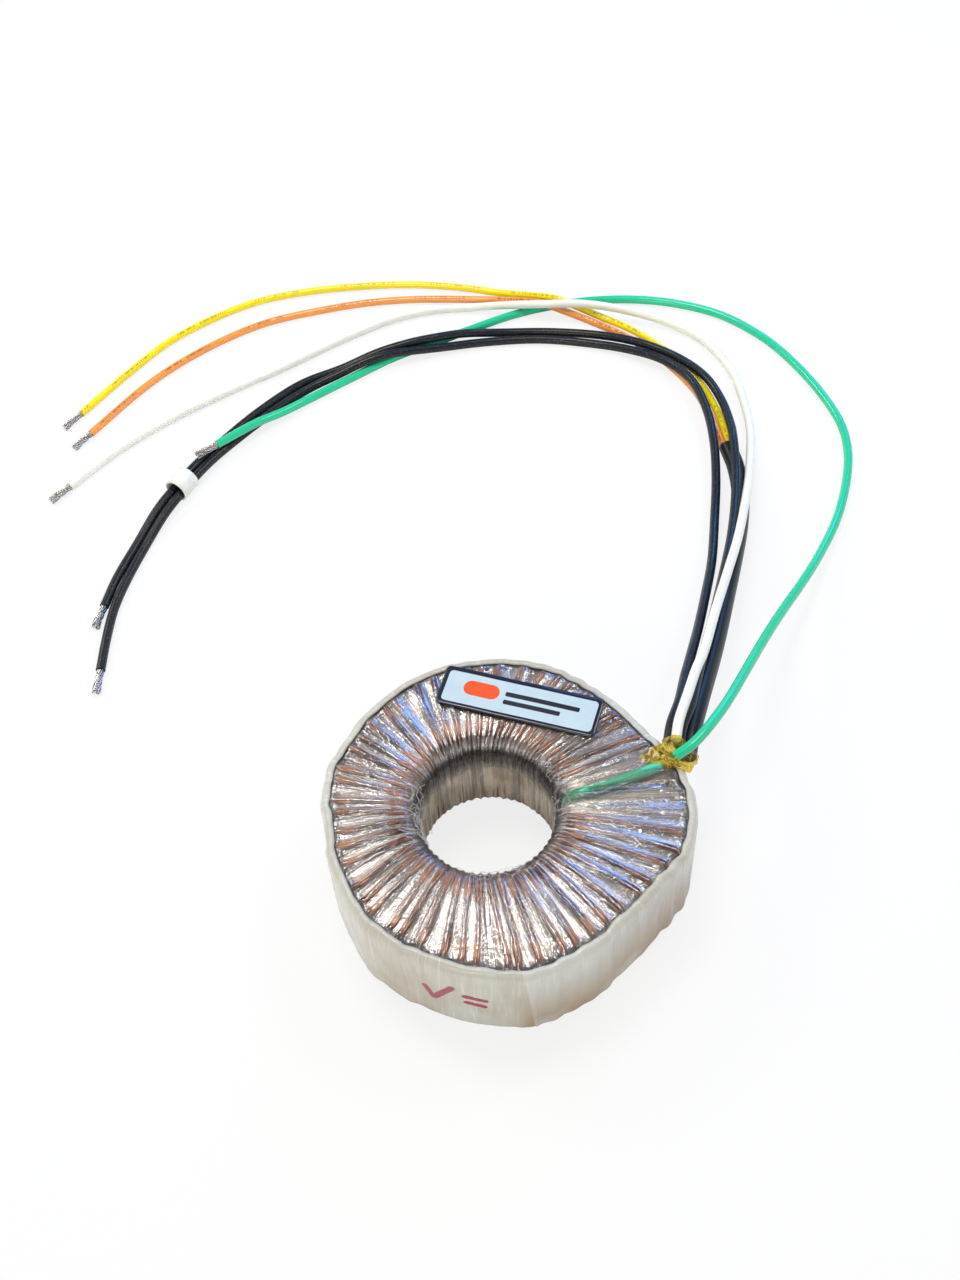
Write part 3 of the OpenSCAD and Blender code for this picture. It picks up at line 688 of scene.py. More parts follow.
def set_values(mesh, **named):
    """Stores values by name, one for each vertex, for a tree or a material to read."""
    for name, values in named.items():
        if isinstance(values[0], (tuple, Vector)):
            made = mesh.attributes.new(name, "FLOAT_VECTOR", "POINT")
            made.data.foreach_set("vector", [x for v in values for x in v])
        else:
            made = mesh.attributes.new(name, "FLOAT", "POINT")
            made.data.foreach_set("value", values)


# ---- Inner layers ----
# Under the outer film lie a wound steel core in plastic caps, paper wrap, the primary and its tape.
# A copper screen, its tape, the padding and the joints of the leads come over them.

def layer_finish(node, light, dark, scale, rough, metal=0.0, stretch=(1, 1, 1)):
    """A two-toned, slightly uneven finish for a hidden layer."""
    made, shader = new_material(node + "_finish", roughness=rough, metallic=metal)
    grain = place_on(shader).stretched(stretch).mottled(scale, 5)
    set_shader(shader, base_color=grain.blend(dark, light))
    bumped(shader, grain, 0.5, 0.0002)
    for slot in frame["nodes"][node].material_slots:
        slot.material = made


layer_finish("core", (0.42, 0.43, 0.45), (0.2, 0.21, 0.23), 300, 0.3, 0.9, (1, 1, 12))
for cap in ("core_cap_lower", "core_cap_upper"):
    layer_finish(cap, (0.86, 0.82, 0.72), (0.72, 0.68, 0.58), 120, 0.45)
layer_finish("core_wrap", (0.82, 0.73, 0.5), (0.62, 0.52, 0.32), 600, 0.7, 0.0, (1, 1, 0.2))
layer_finish("primary_winding", (0.62, 0.26, 0.11), (0.2, 0.06, 0.02), 900, 0.25, 0.85, (1, 1, 0.04))
layer_finish("primary_tape", (0.78, 0.7, 0.5), (0.6, 0.5, 0.32), 350, 0.4, 0.0, (1, 1, 0.3))
layer_finish("screen_foil", (0.85, 0.48, 0.3), (0.45, 0.2, 0.1), 200, 0.25, 1.0)
layer_finish("joint_padding", (0.86, 0.84, 0.78), (0.62, 0.6, 0.54), 1400, 0.9)
layer_finish("lead_joints", (0.06, 0.065, 0.08), (0.015, 0.017, 0.02), 500, 0.3)


# ---- Screen tape ----
# Thin metallised tape is lapped round the section over the copper screen.
# It shows as the silvery, pinkish ground between the turns of the secondary.

tape_rings = 360
tape_section = (4, 3, 6, 4)
wrap_r = 0.04


def wrap_place(angle, r, along):
    """A place in a pattern that closes on itself round the ring, at an angle in degrees."""
    return (*(r * turned(angle)), along)


tape_loops = []
tape_wrap = []
for i in range(tape_rings):
    angle = i * 360 / tape_rings
    section = ring_loop(angle, stack_depth, *tape_section)
    tape_loops.append([p for p, _, _ in section])
    tape_wrap += [wrap_place(angle, wrap_r, way) for _, _, way in section]

metallised, shader = new_material("metallised_tape", metallic=0.75)
laps = attribute(shader, "wrap", "Vector").stretched((1, 1, 0.08)).mottled(260, 4)
set_shader(shader, base_color=laps.spread(0.36, 0.64).blend((0.3, 0.215, 0.19), (0.82, 0.74, 0.69)),
           roughness=laps * -0.3 + 0.48)
bumped(shader, laps, 0.6, 0.0006)
screen_layer = new_object("screen_tape_layer", ring_skin("screen_tape_layer", tape_loops))
set_values(screen_layer.data, wrap=tape_wrap)
screen_layer.data.materials.append(metallised)
dress(screen_layer, "screen_tape")


# ---- Secondary winding ----
# Two enamelled copper wires side by side go round the ring as one helix, turn after turn.
# Wound by hand, the turns stand a little unevenly and lean.

# The turns leave four of the places free, where the green tail crosses. Each turn stands off its even place
# by its lean and its sway, and shows through the film by its share of copper_seen.
turn_places = 54
turn_pitch = 360 / turn_places
turns = 50
first_turn = (3 - 5.5 / 12) * turn_pitch
wire_section = (4, 2, 4, 3)
strand_d = 0.00105
strand_gap = 0.00058
most_lean = 0.07
most_sway = 0.3
least_copper = 0.15

random.seed(11)
lean = [random.uniform(-most_lean, most_lean) for _ in range(turns + 2)]
sway = [random.uniform(-most_sway, most_sway) for _ in range(turns + 2)]
copper_seen = [random.uniform(least_copper, 1.0) for _ in range(turns + 1)]


def held(value, low=0, high=1):
    """A value kept between two others."""
    return min(max(value, low), high)


def set_aside(turn, share):
    """How far a turn stands off its even place part of the way round the section, in turns."""
    step = share * section_steps
    at_rim = held(top_inner - step)
    back_at_rim = max(step - underside, 0)
    return (lean[turn] * (1 - share) + lean[turn + 1] * share
            + sway[turn] * at_rim + sway[turn + 1] * back_at_rim)


helix = []
helix_side = []
for k in range(turns):
    for _, share, _ in ring_loop(0, wire_depth, *wire_section):
        angle = first_turn + turn_pitch * (k + share + set_aside(k, share))
        section = ring_loop(angle, wire_depth, *wire_section)
        helix.append(min(section, key=lambda entry: abs(entry[1] - share))[0])
        across = turned(angle)
        helix_side.append(Vector((-across.y, across.x, 0)))


def field_of(tree, name, kind="FLOAT"):
    """A value that a mesh keeps at its points, in a Geometry Nodes tree."""
    return put(tree, "GeometryNodeInputNamedAttribute", {"Name": name}, output="Attribute", data_type=kind)


def moved(geometry, offset):
    """A geometry with each of its points moved."""
    return put(geometry.tree, "GeometryNodeSetPosition", {"Geometry": geometry, "Offset": offset})


wire_tree, wire_in = new_tree("paired_turns", "Enamel", "Wire Radius", "Half Gap")
both_wires = wire_tree.nodes.new("GeometryNodeJoinGeometry")
for sign in (-1, 1):
    aside = field_of(wire_tree, "side", "FLOAT_VECTOR").scaled(wire_in["Half Gap"] * sign)
    feed(both_wires.inputs["Geometry"], moved(wire_in["Geometry"], aside))
wire_path = put(wire_tree, "GeometryNodeMeshToCurve", {"Mesh": Field(both_wires.outputs[0])})
end_tree(swept(wire_path, circle(wire_tree, 8, wire_in["Wire Radius"])), wire_in["Enamel"])

copper_enamel, shader = new_material("copper_enamel", metallic=0.65, coat_weight=0.3, coat_roughness=0.1)
patches = place_on(shader).mottled(90, 4)
set_shader(shader, base_color=patches.spread(0.35, 0.68).blend((0.11, 0.042, 0.028), (0.52, 0.25, 0.155)),
           roughness=patches * 0.25 + 0.16)

helix_mesh = mesh_line("secondary_turns", helix)
set_values(helix_mesh, side=helix_side)
secondary_turns = shape_by("secondary_turns", helix_mesh, wire_tree, {
    "Wire Radius": strand_d / 2, "Half Gap": strand_gap, "Enamel": copper_enamel})
dress(secondary_turns, "secondary_winding")


# ---- Green tail ----
# The earth lead's first stretch lies on the screen tape under the film, from the hole to the rim.
# Its end dips at the hole's edge, where it was soldered to the screen.

tail_directions = (4, 8, 11)
tail_from, tail_to = 0.2, 0.82
tail_past = 1.09
tail_clear = 0.0003
tail_height = ring_h - stack_depth + tail_clear + lead_d / 2
tail_end = [(-0.17, 0.0062), (-0.15, 0.0034), (-0.1, 0.00125)]


def tail_point(t, dip=0.0):
    """A point of the tail's middle, from 0 near the hole to 1 at the rim."""
    in_half = held(t, 0, 0.5) * 2
    out_half = max(t - 0.5, 0) * 2
    a, b, c = tail_directions
    angle = a + (b - a) * in_half + (c - b) * out_half
    share = tail_from + (tail_to - tail_from) * t
    at = hole_point(angle, 0).lerp(rim_point(angle, 0), share)
    return (at.x, at.y, tail_height - dip)


tail_line = smooth_line([tail_point(t, dip) for t, dip in tail_end]
                        + [tail_point(k / 4) for k in range(5)] + [tail_point(tail_past)])
milky_green_pvc = insulation("milky_green_pvc", (0.06, 0.72, 0.4), (0.04, 0.5, 0.3), 1.4)
green_tail = shape_by("green_tail_wire", mesh_line("green_tail", tail_line), tube_tree, {
    "Radius": lead_d / 2, "Ring Step": 0.0008, "Sides": 20, "Insulation": milky_green_pvc})
dress(green_tail, "green_tail")


# ---- Outer film ----
# Clear plastic tape is wrapped round and round the section, pulled tight over the turns.
# It sinks between them, and bunches into fine pleats where it runs down the hole.

film_rings = 1080
valley = 0.0011
full_gap = 0.006
rim_middle = 2.5
taut_half = 0.9
slack_over = 1.6
least_slack = 0.15
tail_bulge = 0.0026
bulge_turn = 12
tail_ends_at = 8.4
film_dome = 0.0007
spare_folds = 4


def bulge_at(angle, centre):
    """How high the green tail lifts what lies over it, at an angle beside its middle."""
    return tail_bulge * max(0, 1 - off_by(angle, centre) / bulge_turn)


def stands_at(k, share):
    """A turn's place, counted on past the free stretch at either end."""
    if k < 0:
        return turns - turn_places + set_aside(turns, share)
    if k > turns:
        return turn_places + set_aside(0, share)
    return k + set_aside(k, share)


def between_turns(place, share):
    """Where a place lies between two turns, how far apart they stand in turns, and the nearest turn."""
    k = min(int(place), turns)
    if place < stands_at(k, share):
        k -= 1
    elif place > stands_at(k + 1, share):
        k += 1
    low_at, high_at = stands_at(k, share), stands_at(k + 1, share)
    inside = held((place - low_at) / (high_at - low_at))
    return inside, high_at - low_at, (k + round(inside)) % (turns + 1)


def tail_near(angle, step):
    """How near the green tail is at a step of the section; 1 is over its middle."""
    if not rim_top < step < tail_ends_at:
        return 0
    outer_angle, inner_angle = tail_directions[2], tail_directions[0]
    centre = outer_angle + (inner_angle - outer_angle) * held(step - top_outer)
    return bulge_at(angle, centre) / tail_bulge * min((step - rim_top) / 2, 1)


def tail_lift(angle, step):
    """How far the green tail lifts the film at a step of the section."""
    return tail_bulge * tail_near(angle, step) * min(max(hole_top - step, 0) / 2, 1)


def edge_drop(step):
    """How far the film lies below a flat top towards the rim and the hole, at a step of the section."""
    if not rim_top < step < hole_top:
        return 0
    off_middle = (2 * held(step - top_outer) - 1) ** 2
    return film_dome * off_middle * min((step - rim_top) / 2, 1, (hole_top - step) / 2)


def film_facts(angle, p, share, way):
    """What the film's tree and material read at a point: which turns and how much of the tail lie under it.

    The side band holds the film on the middle of the rim, so it has least slack there.
    """
    step = share * section_steps
    place = ((angle - first_turn) / turn_pitch - share) % turn_places
    inside, apart, nearest_turn = between_turns(place, share)
    centre = hole_at if share > 0.5 else ring_at
    one_turn = math.radians(turn_pitch) * (p.xy - centre).length
    off_wire = min(inside, 1 - inside) * apart * one_turn
    if apart > 2:
        inside, apart = inside * spare_folds % 1, apart / spare_folds
    slack = held((abs(step - rim_middle) - taut_half) / slack_over, least_slack)
    return {
        "wrap": wrap_place(angle, wrap_r, way), "gap_share": inside, "gap_wide": apart * one_turn * slack,
        "section_step": step, "over_tail": tail_near(angle, step), "off_wire": off_wire,
        "shows": copper_seen[nearest_turn]}


film_loops = []
facts = []
for i in range(film_rings):
    angle = i * 360 / film_rings
    section = ring_loop(angle, 0)
    facts += [film_facts(angle, *entry) for entry in section]
    film_loops.append([
        p + Vector((0, 0, tail_lift(angle, share * section_steps) - edge_drop(share * section_steps)))
        for p, share, _ in section])
film_mesh = ring_skin("outer_film_skin", film_loops)
set_values(film_mesh, **{name: [fact[name] for fact in facts] for name in facts[0]})


def depth_of(place, seed, scale, detail):
    """How far below its highest an uneven surface lies at a place, from 0 to 1."""
    return 1.0 - put(place.tree, "ShaderNodeTexNoise",
                     {"Vector": place, "W": seed, "Scale": scale, "Detail": detail}, noise_dimensions="4D")


def sunk(geometry, depth):
    """A skin that is sunk in by a depth, square to itself."""
    return moved(geometry, put(geometry.tree, "GeometryNodeInputNormal").scaled(depth * -1.0))


film_tree, film_inputs = new_tree("film_over_turns", "Film", "Valley", "Full Gap", "Pleat", "Pleat Scale",
                                  "Crumple", "Crumple Scale", "Seed")
arch = (field_of(film_tree, "gap_share") * math.pi).by("SINE")
full = (field_of(film_tree, "gap_wide") / film_inputs["Full Gap"]).min(1.0)
sag = arch * full * film_inputs["Valley"]
way = field_of(film_tree, "wrap", "FLOAT_VECTOR")
ragged = field_of(film_tree, "section_step").spread(8.2, 9.2, 1.0, 2.6)
pleats = depth_of(way.stretched((1, 1, 0.12)), film_inputs["Seed"], film_inputs["Pleat Scale"], 2.0)
crumples = depth_of(way, film_inputs["Seed"], film_inputs["Crumple Scale"], 1.0)
depth = sag + (pleats * film_inputs["Pleat"] * ragged + crumples * film_inputs["Crumple"])
end_tree(sunk(film_inputs["Geometry"], depth), film_inputs["Film"])


def let_through(shader, share, tint):
    """Shows a finish by a share, and lets what lies behind it through for the rest, tinted."""
    clear = put(share.tree, "ShaderNodeBsdfTransparent", [tint])
    mix_to_surface(share, clear, Field(shader.outputs[0]))


clear_film, shader = new_material("clear_film")
way = attribute(shader, "wrap", "Vector")
step = attribute(shader, "section_step")

# Fine threads of film run over one another at a slant, and the edges of its laps run straight. The slanting
# lines are painted near white, partly for the threads and partly as painted glints on the film.
threads_and_glints = 0.0
x, y, z = way.parts()
for slant, scale in ((4.5, 330), (-6.0, 260)):
    slid = z * slant
    slanted = put(way.tree, "ShaderNodeCombineXYZ", [x - slid * y, y + slid * x, z * 0.05])
    threads_and_glints = abs(slanted.mottled(scale, 1) - 0.58).ramp(0.0, 0.011, 1.0, 0.0).max(threads_and_glints)
off_lap = abs(way.stretched((1, 1, 0.022)).mottled(420, 1) - 0.5)
tape_edge = off_lap.ramp(0.0, 0.022, 1.0, 0.0)
fibres = way.stretched((1, 1, 0.05)).mottled(1300, 4)
crinkle = way.mottled(450, 2, distortion=1.2)
creases = threads_and_glints * 0.5 + (crinkle * 0.8 + (tape_edge * -0.7 + fibres))
tight = bumped(shader, creases, 0.65, 0.0006)

# It is silvery on the top, smoky at the hole's edge, and gathers into a pale, duller wall in the hole.
hazy = way.stretched((1, 1, 0.05)).mottled(320, 4)
smoky = step.ramp(6.7, 7.6) * step.ramp(8.05, 8.35, 1.0, 0.0)
gathered = step.ramp(8.1, 8.4) * hazy.ramp(0.4, 0.6, 0.45, 1.0)
lined = (tape_edge * 0.75).blend((0.87, 0.84, 0.82), (0.2, 0.1, 0.075))
# Painted highlight: the slanting lines are painted near white, as threads of film and as glints along them.
threaded_and_glinting = (threads_and_glints * 0.9).blend(lined, (0.98, 0.97, 0.95))
toned = smoky.blend(threaded_and_glinting, (0.2, 0.19, 0.19))
hole_wall = way.mottled(60, 3).ramp(0.38, 0.6).blend((0.58, 0.46, 0.33), (0.94, 0.83, 0.68))
set_shader(shader, base_color=gathered.blend(toned, hole_wall), metallic=gathered * -0.7 + 0.85,
           roughness=hazy.ramp(0.35, 0.65, 0.12, 0.22))

# It is clearest where it lies flat on a wire or on the green tail.
on_wire = abs(attribute(shader, "off_wire") - strand_gap).ramp(0.0001, 0.0006, 1.0, 0.0)
flat_on_wire = on_wire * attribute(shader, "shows") * step.ramp(7.4, 8.2, 0.82, 0.0)
flat_on_tail = attribute(shader, "over_tail") * step.ramp(4.5, 6.5, 0.5, 0.85)
thick = (smoky * 0.45).max(gathered * 0.62) + hazy.ramp(0.35, 0.65, 0.24, 0.5)
veiled = (thick * (1.0 - flat_on_tail.max(flat_on_wire))).max(threads_and_glints * 0.7)
edge_on = put(way.tree, "ShaderNodeFresnel", {"IOR": 1.5, "Normal": tight})
let_through(shader, (veiled + edge_on).min(1.0), (0.96, 0.94, 0.91))

clear_wrap = shape_by("clear_wrap", film_mesh, film_tree, {
    "Valley": valley, "Full Gap": full_gap, "Pleat": 0.00045, "Pleat Scale": 420.0,
    "Crumple": 0.00025, "Crumple Scale": 260.0, "Seed": 3.0, "Film": clear_film})
dress(clear_wrap, "outer_film")


# ---- Loose shreds ----
# Thin shreds of film stick out where its edges were torn, mostly on the left of the hole.
# They curl over the film and stay held by the layers that they come from.

shred_r = 0.00007
shred_step = 0.0006
shred_steps = 15
shred_rise = 0.0009
shred_root = 0.0003
section_step_long = 0.0063
shred_section = (24, 3, 30, 3)
shred_span = (5.3, 9)
shred_curl = 0.35
shred_wander = 0.3
shred_groups = [((158, 208), (6.4, 8.3), 44), ((-102, -66), (5.7, 7.6), 16), ((-8, 22), (6.2, 7.8), 14)]
random.seed(23)
shred_points = []
shred_edges = []
for directions, section_span, count in shred_groups:
    for _ in range(count):
        angle = random.uniform(*directions)
        step = random.uniform(*section_span)
        heading = random.uniform(0, 2 * math.pi)
        curl = random.uniform(-shred_curl, shred_curl)
        for k in range(shred_steps):
            bow = math.cos(math.pi * (k / (shred_steps - 1) - 0.5))
            depth = shred_root - shred_rise * bow * random.uniform(-0.6, 1)
            section = ring_loop(angle, depth, *shred_section)
            nearest = min(section, key=lambda entry: abs(entry[1] * section_steps - step))
            shred_points.append(tuple(nearest[0]))
            if k:
                shred_edges.append((len(shred_points) - 2, len(shred_points) - 1))
            angle += math.degrees(shred_step * math.cos(heading) / hole_r)
            step = held(step + shred_step * math.sin(heading) / section_step_long, *shred_span)
            heading += curl + random.uniform(-shred_wander, shred_wander)
shred_mesh = bpy.data.meshes.new("film_shreds")
shred_mesh.from_pydata(shred_points, shred_edges, [])
shred_film, shader = new_material("shred_film", roughness=0.16, coat_weight=0.5, coat_roughness=0.08)
folds = place_on(shader).mottled(900, 2)
set_shader(shader, base_color=folds.blend((0.45, 0.42, 0.38), (0.95, 0.95, 0.94)))
bumped(shader, folds, 0.4, 0.0002)
film_shreds = shape_by("film_shreds", shred_mesh, tube_tree, {
    "Radius": shred_r, "Ring Step": 0.0005, "Sides": 5, "Insulation": shred_film})
dress(film_shreds, None)


# ---- Side band ----
# A strip of whitish film is wrapped round the rim and shrunk over its rounded edges.
# It is creased upright all round, crimped along its upper edge, and lapped over itself at the front.

band_thick = 0.0009
band_wall = 0.8 * band_thick
band_gap = 0.00047
band_swell = 0.0003
band_follow = 0.7
band_rings = 1440
lower_steps, wall_steps, lip_steps = 8, 12, 10
lower_lap, upper_lap, lap_sway = 50, 51, 9
lip_press = 0.0019
lip_thin = 0.2
band_crease = 0.00028
lip_crimp = 0.0004
seam_top = -88
seam_bottom = -84.5
seam_step = 0.0004
seam_rise = 0.3
seam_fade = 34
band_r = 0.06
pen_wide = 0.0015
pen_wobble = 0.0006
pen_strokes = [
    ((-118.5, 0.0215), (-115.8, 0.0155)), ((-115.8, 0.0155), (-109.5, 0.0265)),
    ((-105.5, 0.0225), (-99.5, 0.0215)), ((-105.0, 0.0185), (-100.0, 0.0172)),
]


def on_band(angle):
    """The way along the flat pattern of the band at an angle in degrees."""
    return math.radians((angle + 180) % 360 - 180) * band_r


def band_strip_at(wave):
    """A section of the band, from its lower lap to its lip, as (inset, height, share of the lip)."""
    r = rim_edge_r + band_gap + band_thick
    strip = []
    for k in range(lower_steps + 1):
        t = math.radians(lower_lap * (k / lower_steps - 1))
        strip.append((rim_edge_r - r * math.cos(t), rim_edge_r + r * math.sin(t), 0))
    for k in range(1, wall_steps):
        strip.append((rim_edge_r - r, rim_edge_r + (ring_h - 2 * rim_edge_r) * k / wall_steps, 0))
    for k in range(lip_steps + 1):
        lip = k / lip_steps
        t = math.radians((upper_lap + lap_sway * wave) * lip)
        pressed = r - lip_press * lip ** 4
        strip.append((rim_edge_r - pressed * math.cos(t), ring_h - rim_edge_r + pressed * math.sin(t), lip))
    return strip


band_loops = []
band_wrap = []
band_flat = []
band_lip = []
for i in range(band_rings):
    angle = i * 360 / band_rings
    outer = rim_point(angle, film_in)
    aim = (outer - hole_point(angle, 0)).normalized()
    points = []
    for inset, z, lip in band_strip_at(noise.noise(turned(angle).to_3d() * 9)):
        past = (angle - seam_bottom - (seam_top - seam_bottom) * z / ring_h) % 360
        seam_lift = seam_step * max(1 - past / seam_fade, 0) * min(past / seam_rise, 1)
        at = outer - aim * (inset - seam_lift - band_swell)
        lift = lip * band_follow * bulge_at(angle, tail_directions[2])
        points.append(Vector((at.x, at.y, z + lift)))
        band_wrap.append(wrap_place(angle, band_r, z))
        band_flat.append((on_band(angle), z, 0))
        band_lip.append(lip)
    band_loops.append(points)
band_mesh = ring_skin("side_band_strip", band_loops, closed=False)
set_values(band_mesh, wrap=band_wrap, flat=band_flat, edge=band_lip)

band_tree, band_inputs = new_tree("shrunk_band", "Band Film", "Crease", "Crease Scale",
                                  "Crimp", "Crimp Scale", "Seed")
upright = field_of(band_tree, "wrap", "FLOAT_VECTOR").stretched((1, 1, 0.25))
creases = depth_of(upright, band_inputs["Seed"], band_inputs["Crease Scale"], 2.0)
crimps = depth_of(upright, band_inputs["Seed"], band_inputs["Crimp Scale"], 1.0)
at_edge = crimps * (field_of(band_tree, "edge") * band_inputs["Crimp"])
end_tree(sunk(band_inputs["Geometry"], creases * band_inputs["Crease"] + at_edge), band_inputs["Band Film"])


def stroke_distance(x, z, start, end):
    """How far a place on the band is from a straight pen stroke."""
    start_x, end_x = on_band(start[0]), on_band(end[0])
    long = math.hypot(end_x - start_x, end[1] - start[1])
    aim_x, aim_z = (end_x - start_x) / long, (end[1] - start[1]) / long
    off_x, off_z = x - start_x, z - start[1]
    along = off_x * aim_x + off_z * aim_z
    across = off_z * aim_x - off_x * aim_z
    past = along - along.max(0.0).min(long)
    return (across * across + past * past).by("SQRT")


band_film, shader = new_material("band_film", roughness=0.24, coat_weight=0.4, coat_roughness=0.12)
way = attribute(shader, "wrap", "Vector")
along, height, _ = attribute(shader, "flat", "Vector").parts()
streaks = way.stretched((1, 1, 0.18)).mottled(330, 4)
fine = way.stretched((1, 1, 0.045)).mottled(1100, 2)
bumped(shader, streaks * 1.5 + fine, 0.5, 0.0005)

# The film is paler where it lies double, past the seam. It is browned in patches and beside the seam, most
# towards the bottom; the browning is partly stains and partly painted shade with the brown of the bench
# reflected in it.
seam_slope = math.radians(seam_top - seam_bottom) * band_r / ring_h
past_seam = along - (height * seam_slope + on_band(seam_bottom))
doubled = past_seam.spread(0.0, 0.0006) * past_seam.spread(0.02, 0.05, 1.0, 0.0)
single = streaks.blend((0.5, 0.49, 0.39), (0.83, 0.83, 0.75))
double = streaks.blend((0.66, 0.71, 0.65), (0.9, 0.94, 0.9))
creased = fine.spread(0.56, 0.72, 0.0, 0.6).blend(doubled.blend(single, double), (0.95, 0.96, 0.94))
stain_and_shade_patches = way.mottled(22, 3).spread(0.38, 0.56)
beside_seam = past_seam.spread(-0.009, -0.001) * (past_seam < 0.0)
# Painted shade: the browning is strongest towards the bottom of the band, where shade falls and the bench is
# reflected.
painted_shade_towards_bottom = way.parts()[2].spread(0.004, 0.032, 1.0, 0.25)
stained_and_shaded = (stain_and_shade_patches.max(beside_seam) * painted_shade_towards_bottom).blend(creased, (0.44, 0.31, 0.19))
nearest = 1.0
for start, end in pen_strokes:
    nearest = stroke_distance(along, height, start, end).min(nearest)
inked = (way.mottled(700, 2) * pen_wobble + nearest) < pen_wide
set_shader(shader, base_color=(inked * 0.97).blend(stained_and_shaded, (0.36, 0.0, 0.05)))
cloudy = (streaks * 0.6 + attribute(shader, "edge")).spread(0.6, 1.3, 1.0, 0.7)
let_through(shader, cloudy, (0.98, 0.98, 0.96))


def thicken(piece, thickness, offset):
    """Gives a skin its wall: inwards for -1, outwards for 1."""
    wall = piece.modifiers.new("wall", "SOLIDIFY")
    wall.thickness = thickness
    wall.offset = offset
    return wall


band_strip = shape_by("side_band_strip", band_mesh, band_tree, {
    "Crease": band_crease, "Crease Scale": 190.0, "Crimp": lip_crimp, "Crimp Scale": 520.0,
    "Seed": 5.0, "Band Film": band_film})
thinning = band_strip.vertex_groups.new(name="thinning")
for at, entry in enumerate(band_strip.data.attributes["edge"].data):
    thinning.add([at], 1 - (1 - lip_thin) * entry.value ** 2, "REPLACE")
thicken(band_strip, band_wall, -1).vertex_group = thinning.name
dress(band_strip, "side_band")


# ---- Label ----
# A glossy printed paper label with rounded corners is stuck on top of the film.
# Its print here is plain: a dark border, a pale field, an orange oval and two dark bars.

label_low, label_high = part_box("label")
label_at = (label_low + label_high) / 2
label_turn = math.radians(-19.7)
label_long = 0.055
label_wide = 0.0156
label_thick = 0.000175
label_corner = 0.0016
label_border = 0.0016
field_corner = 0.0014
label_clear = 0.00003
label_columns, label_rows = 72, 20


def label_place(x, y):
    """A point of the label's lower face, eased into its rounded corners, with a slight wave."""
    straight_x, straight_y = label_long / 2 - label_corner, label_wide / 2 - label_corner
    over_x, over_y = max(abs(x) - straight_x, 0), max(abs(y) - straight_y, 0)
    if over_x > 0 and over_y > 0:
        squared = max(over_x, over_y) / math.hypot(over_x, over_y)
        x = math.copysign(straight_x + over_x * squared, x)
        y = math.copysign(straight_y + over_y * squared, y)
    wave = 0.00004 * math.sin(x * 260) + 0.00003 * math.sin(y * 420 + x * 90)
    turned_x = x * math.cos(label_turn) - y * math.sin(label_turn)
    turned_y = x * math.sin(label_turn) + y * math.cos(label_turn)
    return (label_at.x + turned_x, label_at.y + turned_y, label_low.z + wave + label_clear)


printed_at = [((i / label_columns - 0.5) * label_long, (j / label_rows - 0.5) * label_wide, 0)
              for i in range(label_columns + 1) for j in range(label_rows + 1)]
label_cells = [i * (label_rows + 1) + j for i in range(label_columns) for j in range(label_rows)]
label_mesh = bpy.data.meshes.new("label_sticker")
label_mesh.from_pydata(
    [label_place(x, y) for x, y, _ in printed_at], [],
    [(k, k + label_rows + 1, k + label_rows + 2, k + 1) for k in label_cells])
set_values(label_mesh, print=printed_at)
label_sticker = new_object("label_sticker", label_mesh)


def box_distance(place, middle, half, corner):
    """How far outside a rounded box a place on the print is; below 0 is inside."""
    off_x, off_y = [abs(at - m) - (h - corner) for at, m, h in zip(place, middle, half)]
    outside = (off_x.max(0.0) ** 2.0 + off_y.max(0.0) ** 2.0).by("SQRT")
    return outside + off_x.max(off_y).min(0.0) - corner


printed_paper, shader = new_material("printed_paper", roughness=0.2, coat_weight=0.5, coat_roughness=0.08)
place = attribute(shader, "print", "Vector").parts()[:2]
worn = place_on(shader).mottled(200, 4)
bumped(shader, worn, 0.15, 0.0003)
colour = worn.blend((0.46, 0.6, 0.68), (0.6, 0.73, 0.78))
oval = box_distance(place, (-0.0135, 0.0008), (0.0062, 0.0029), 0.0028)
colour = (oval < 0.0).blend(colour, (0.85, 0.095, 0.02))
for middle, half in (((0.0075, 0.0014), (0.0128, 0.0009)), ((0.0045, -0.0018), (0.0098, 0.0009))):
    bar = box_distance(place, middle, half, 0.0005)
    colour = (bar < 0.0).blend(colour, (0.018, 0.02, 0.035))
field_half = (label_long / 2 - label_border, label_wide / 2 - label_border)
border = box_distance(place, (0.0, 0.0), field_half, field_corner)
set_shader(shader, base_color=(border > 0.0).blend(colour, (0.008, 0.012, 0.03)))
label_mesh.materials.append(printed_paper)
thicken(label_sticker, label_thick, 1)
dress(label_sticker, "label")


# ---- Exit tape ----
# Amber film tape gathers the leads where they leave the rim, and is smoothed down over the top.
# A narrower turn of it holds the green lead.

tape_reach = 0.0086
tape_over = 0.0004
tape_thick = 0.0005
tape_flat = 0.0003
tape_sections = 26
tape_sides = 64
tape_crumple = 0.00056
tape_creases = 480
green_taper = 0.0002
gathered_leads = [
    ((-0.0027, 0.0415), black_lead_d / 2, (-0.0118, ring_h + 0.0002)),
    ((0.0009, 0.0402), black_lead_d / 2, (0.0005, ring_h + 0.0003)),
    ((-0.0003, 0.0442), lead_d / 2, (-0.002, ring_h + 0.0006)),
    ((0.0036, 0.0349), sleeve_d / 2, (0.0058, ring_h - 0.0012)),
]
upward = Vector((0, 0, 1))
green_from = Vector(green_route[0])
green_aim = (Vector(green_route[1]) - green_from).normalized()
green_side = green_aim.cross(upward).normalized()


def gathered_loop(circles, origin, aside, upright):
    """The tape's line round some circles, pulled tight."""
    loop = []
    for k in range(tape_sides):
        turn = 2 * math.pi * k / tape_sides
        u, v = math.cos(turn), math.sin(turn)
        x, y, r = max(circles, key=lambda c: c[0] * u + c[1] * v + c[2])
        loop.append(origin + aside * (x + r * u) + upright * (y + r * v))
    return loop


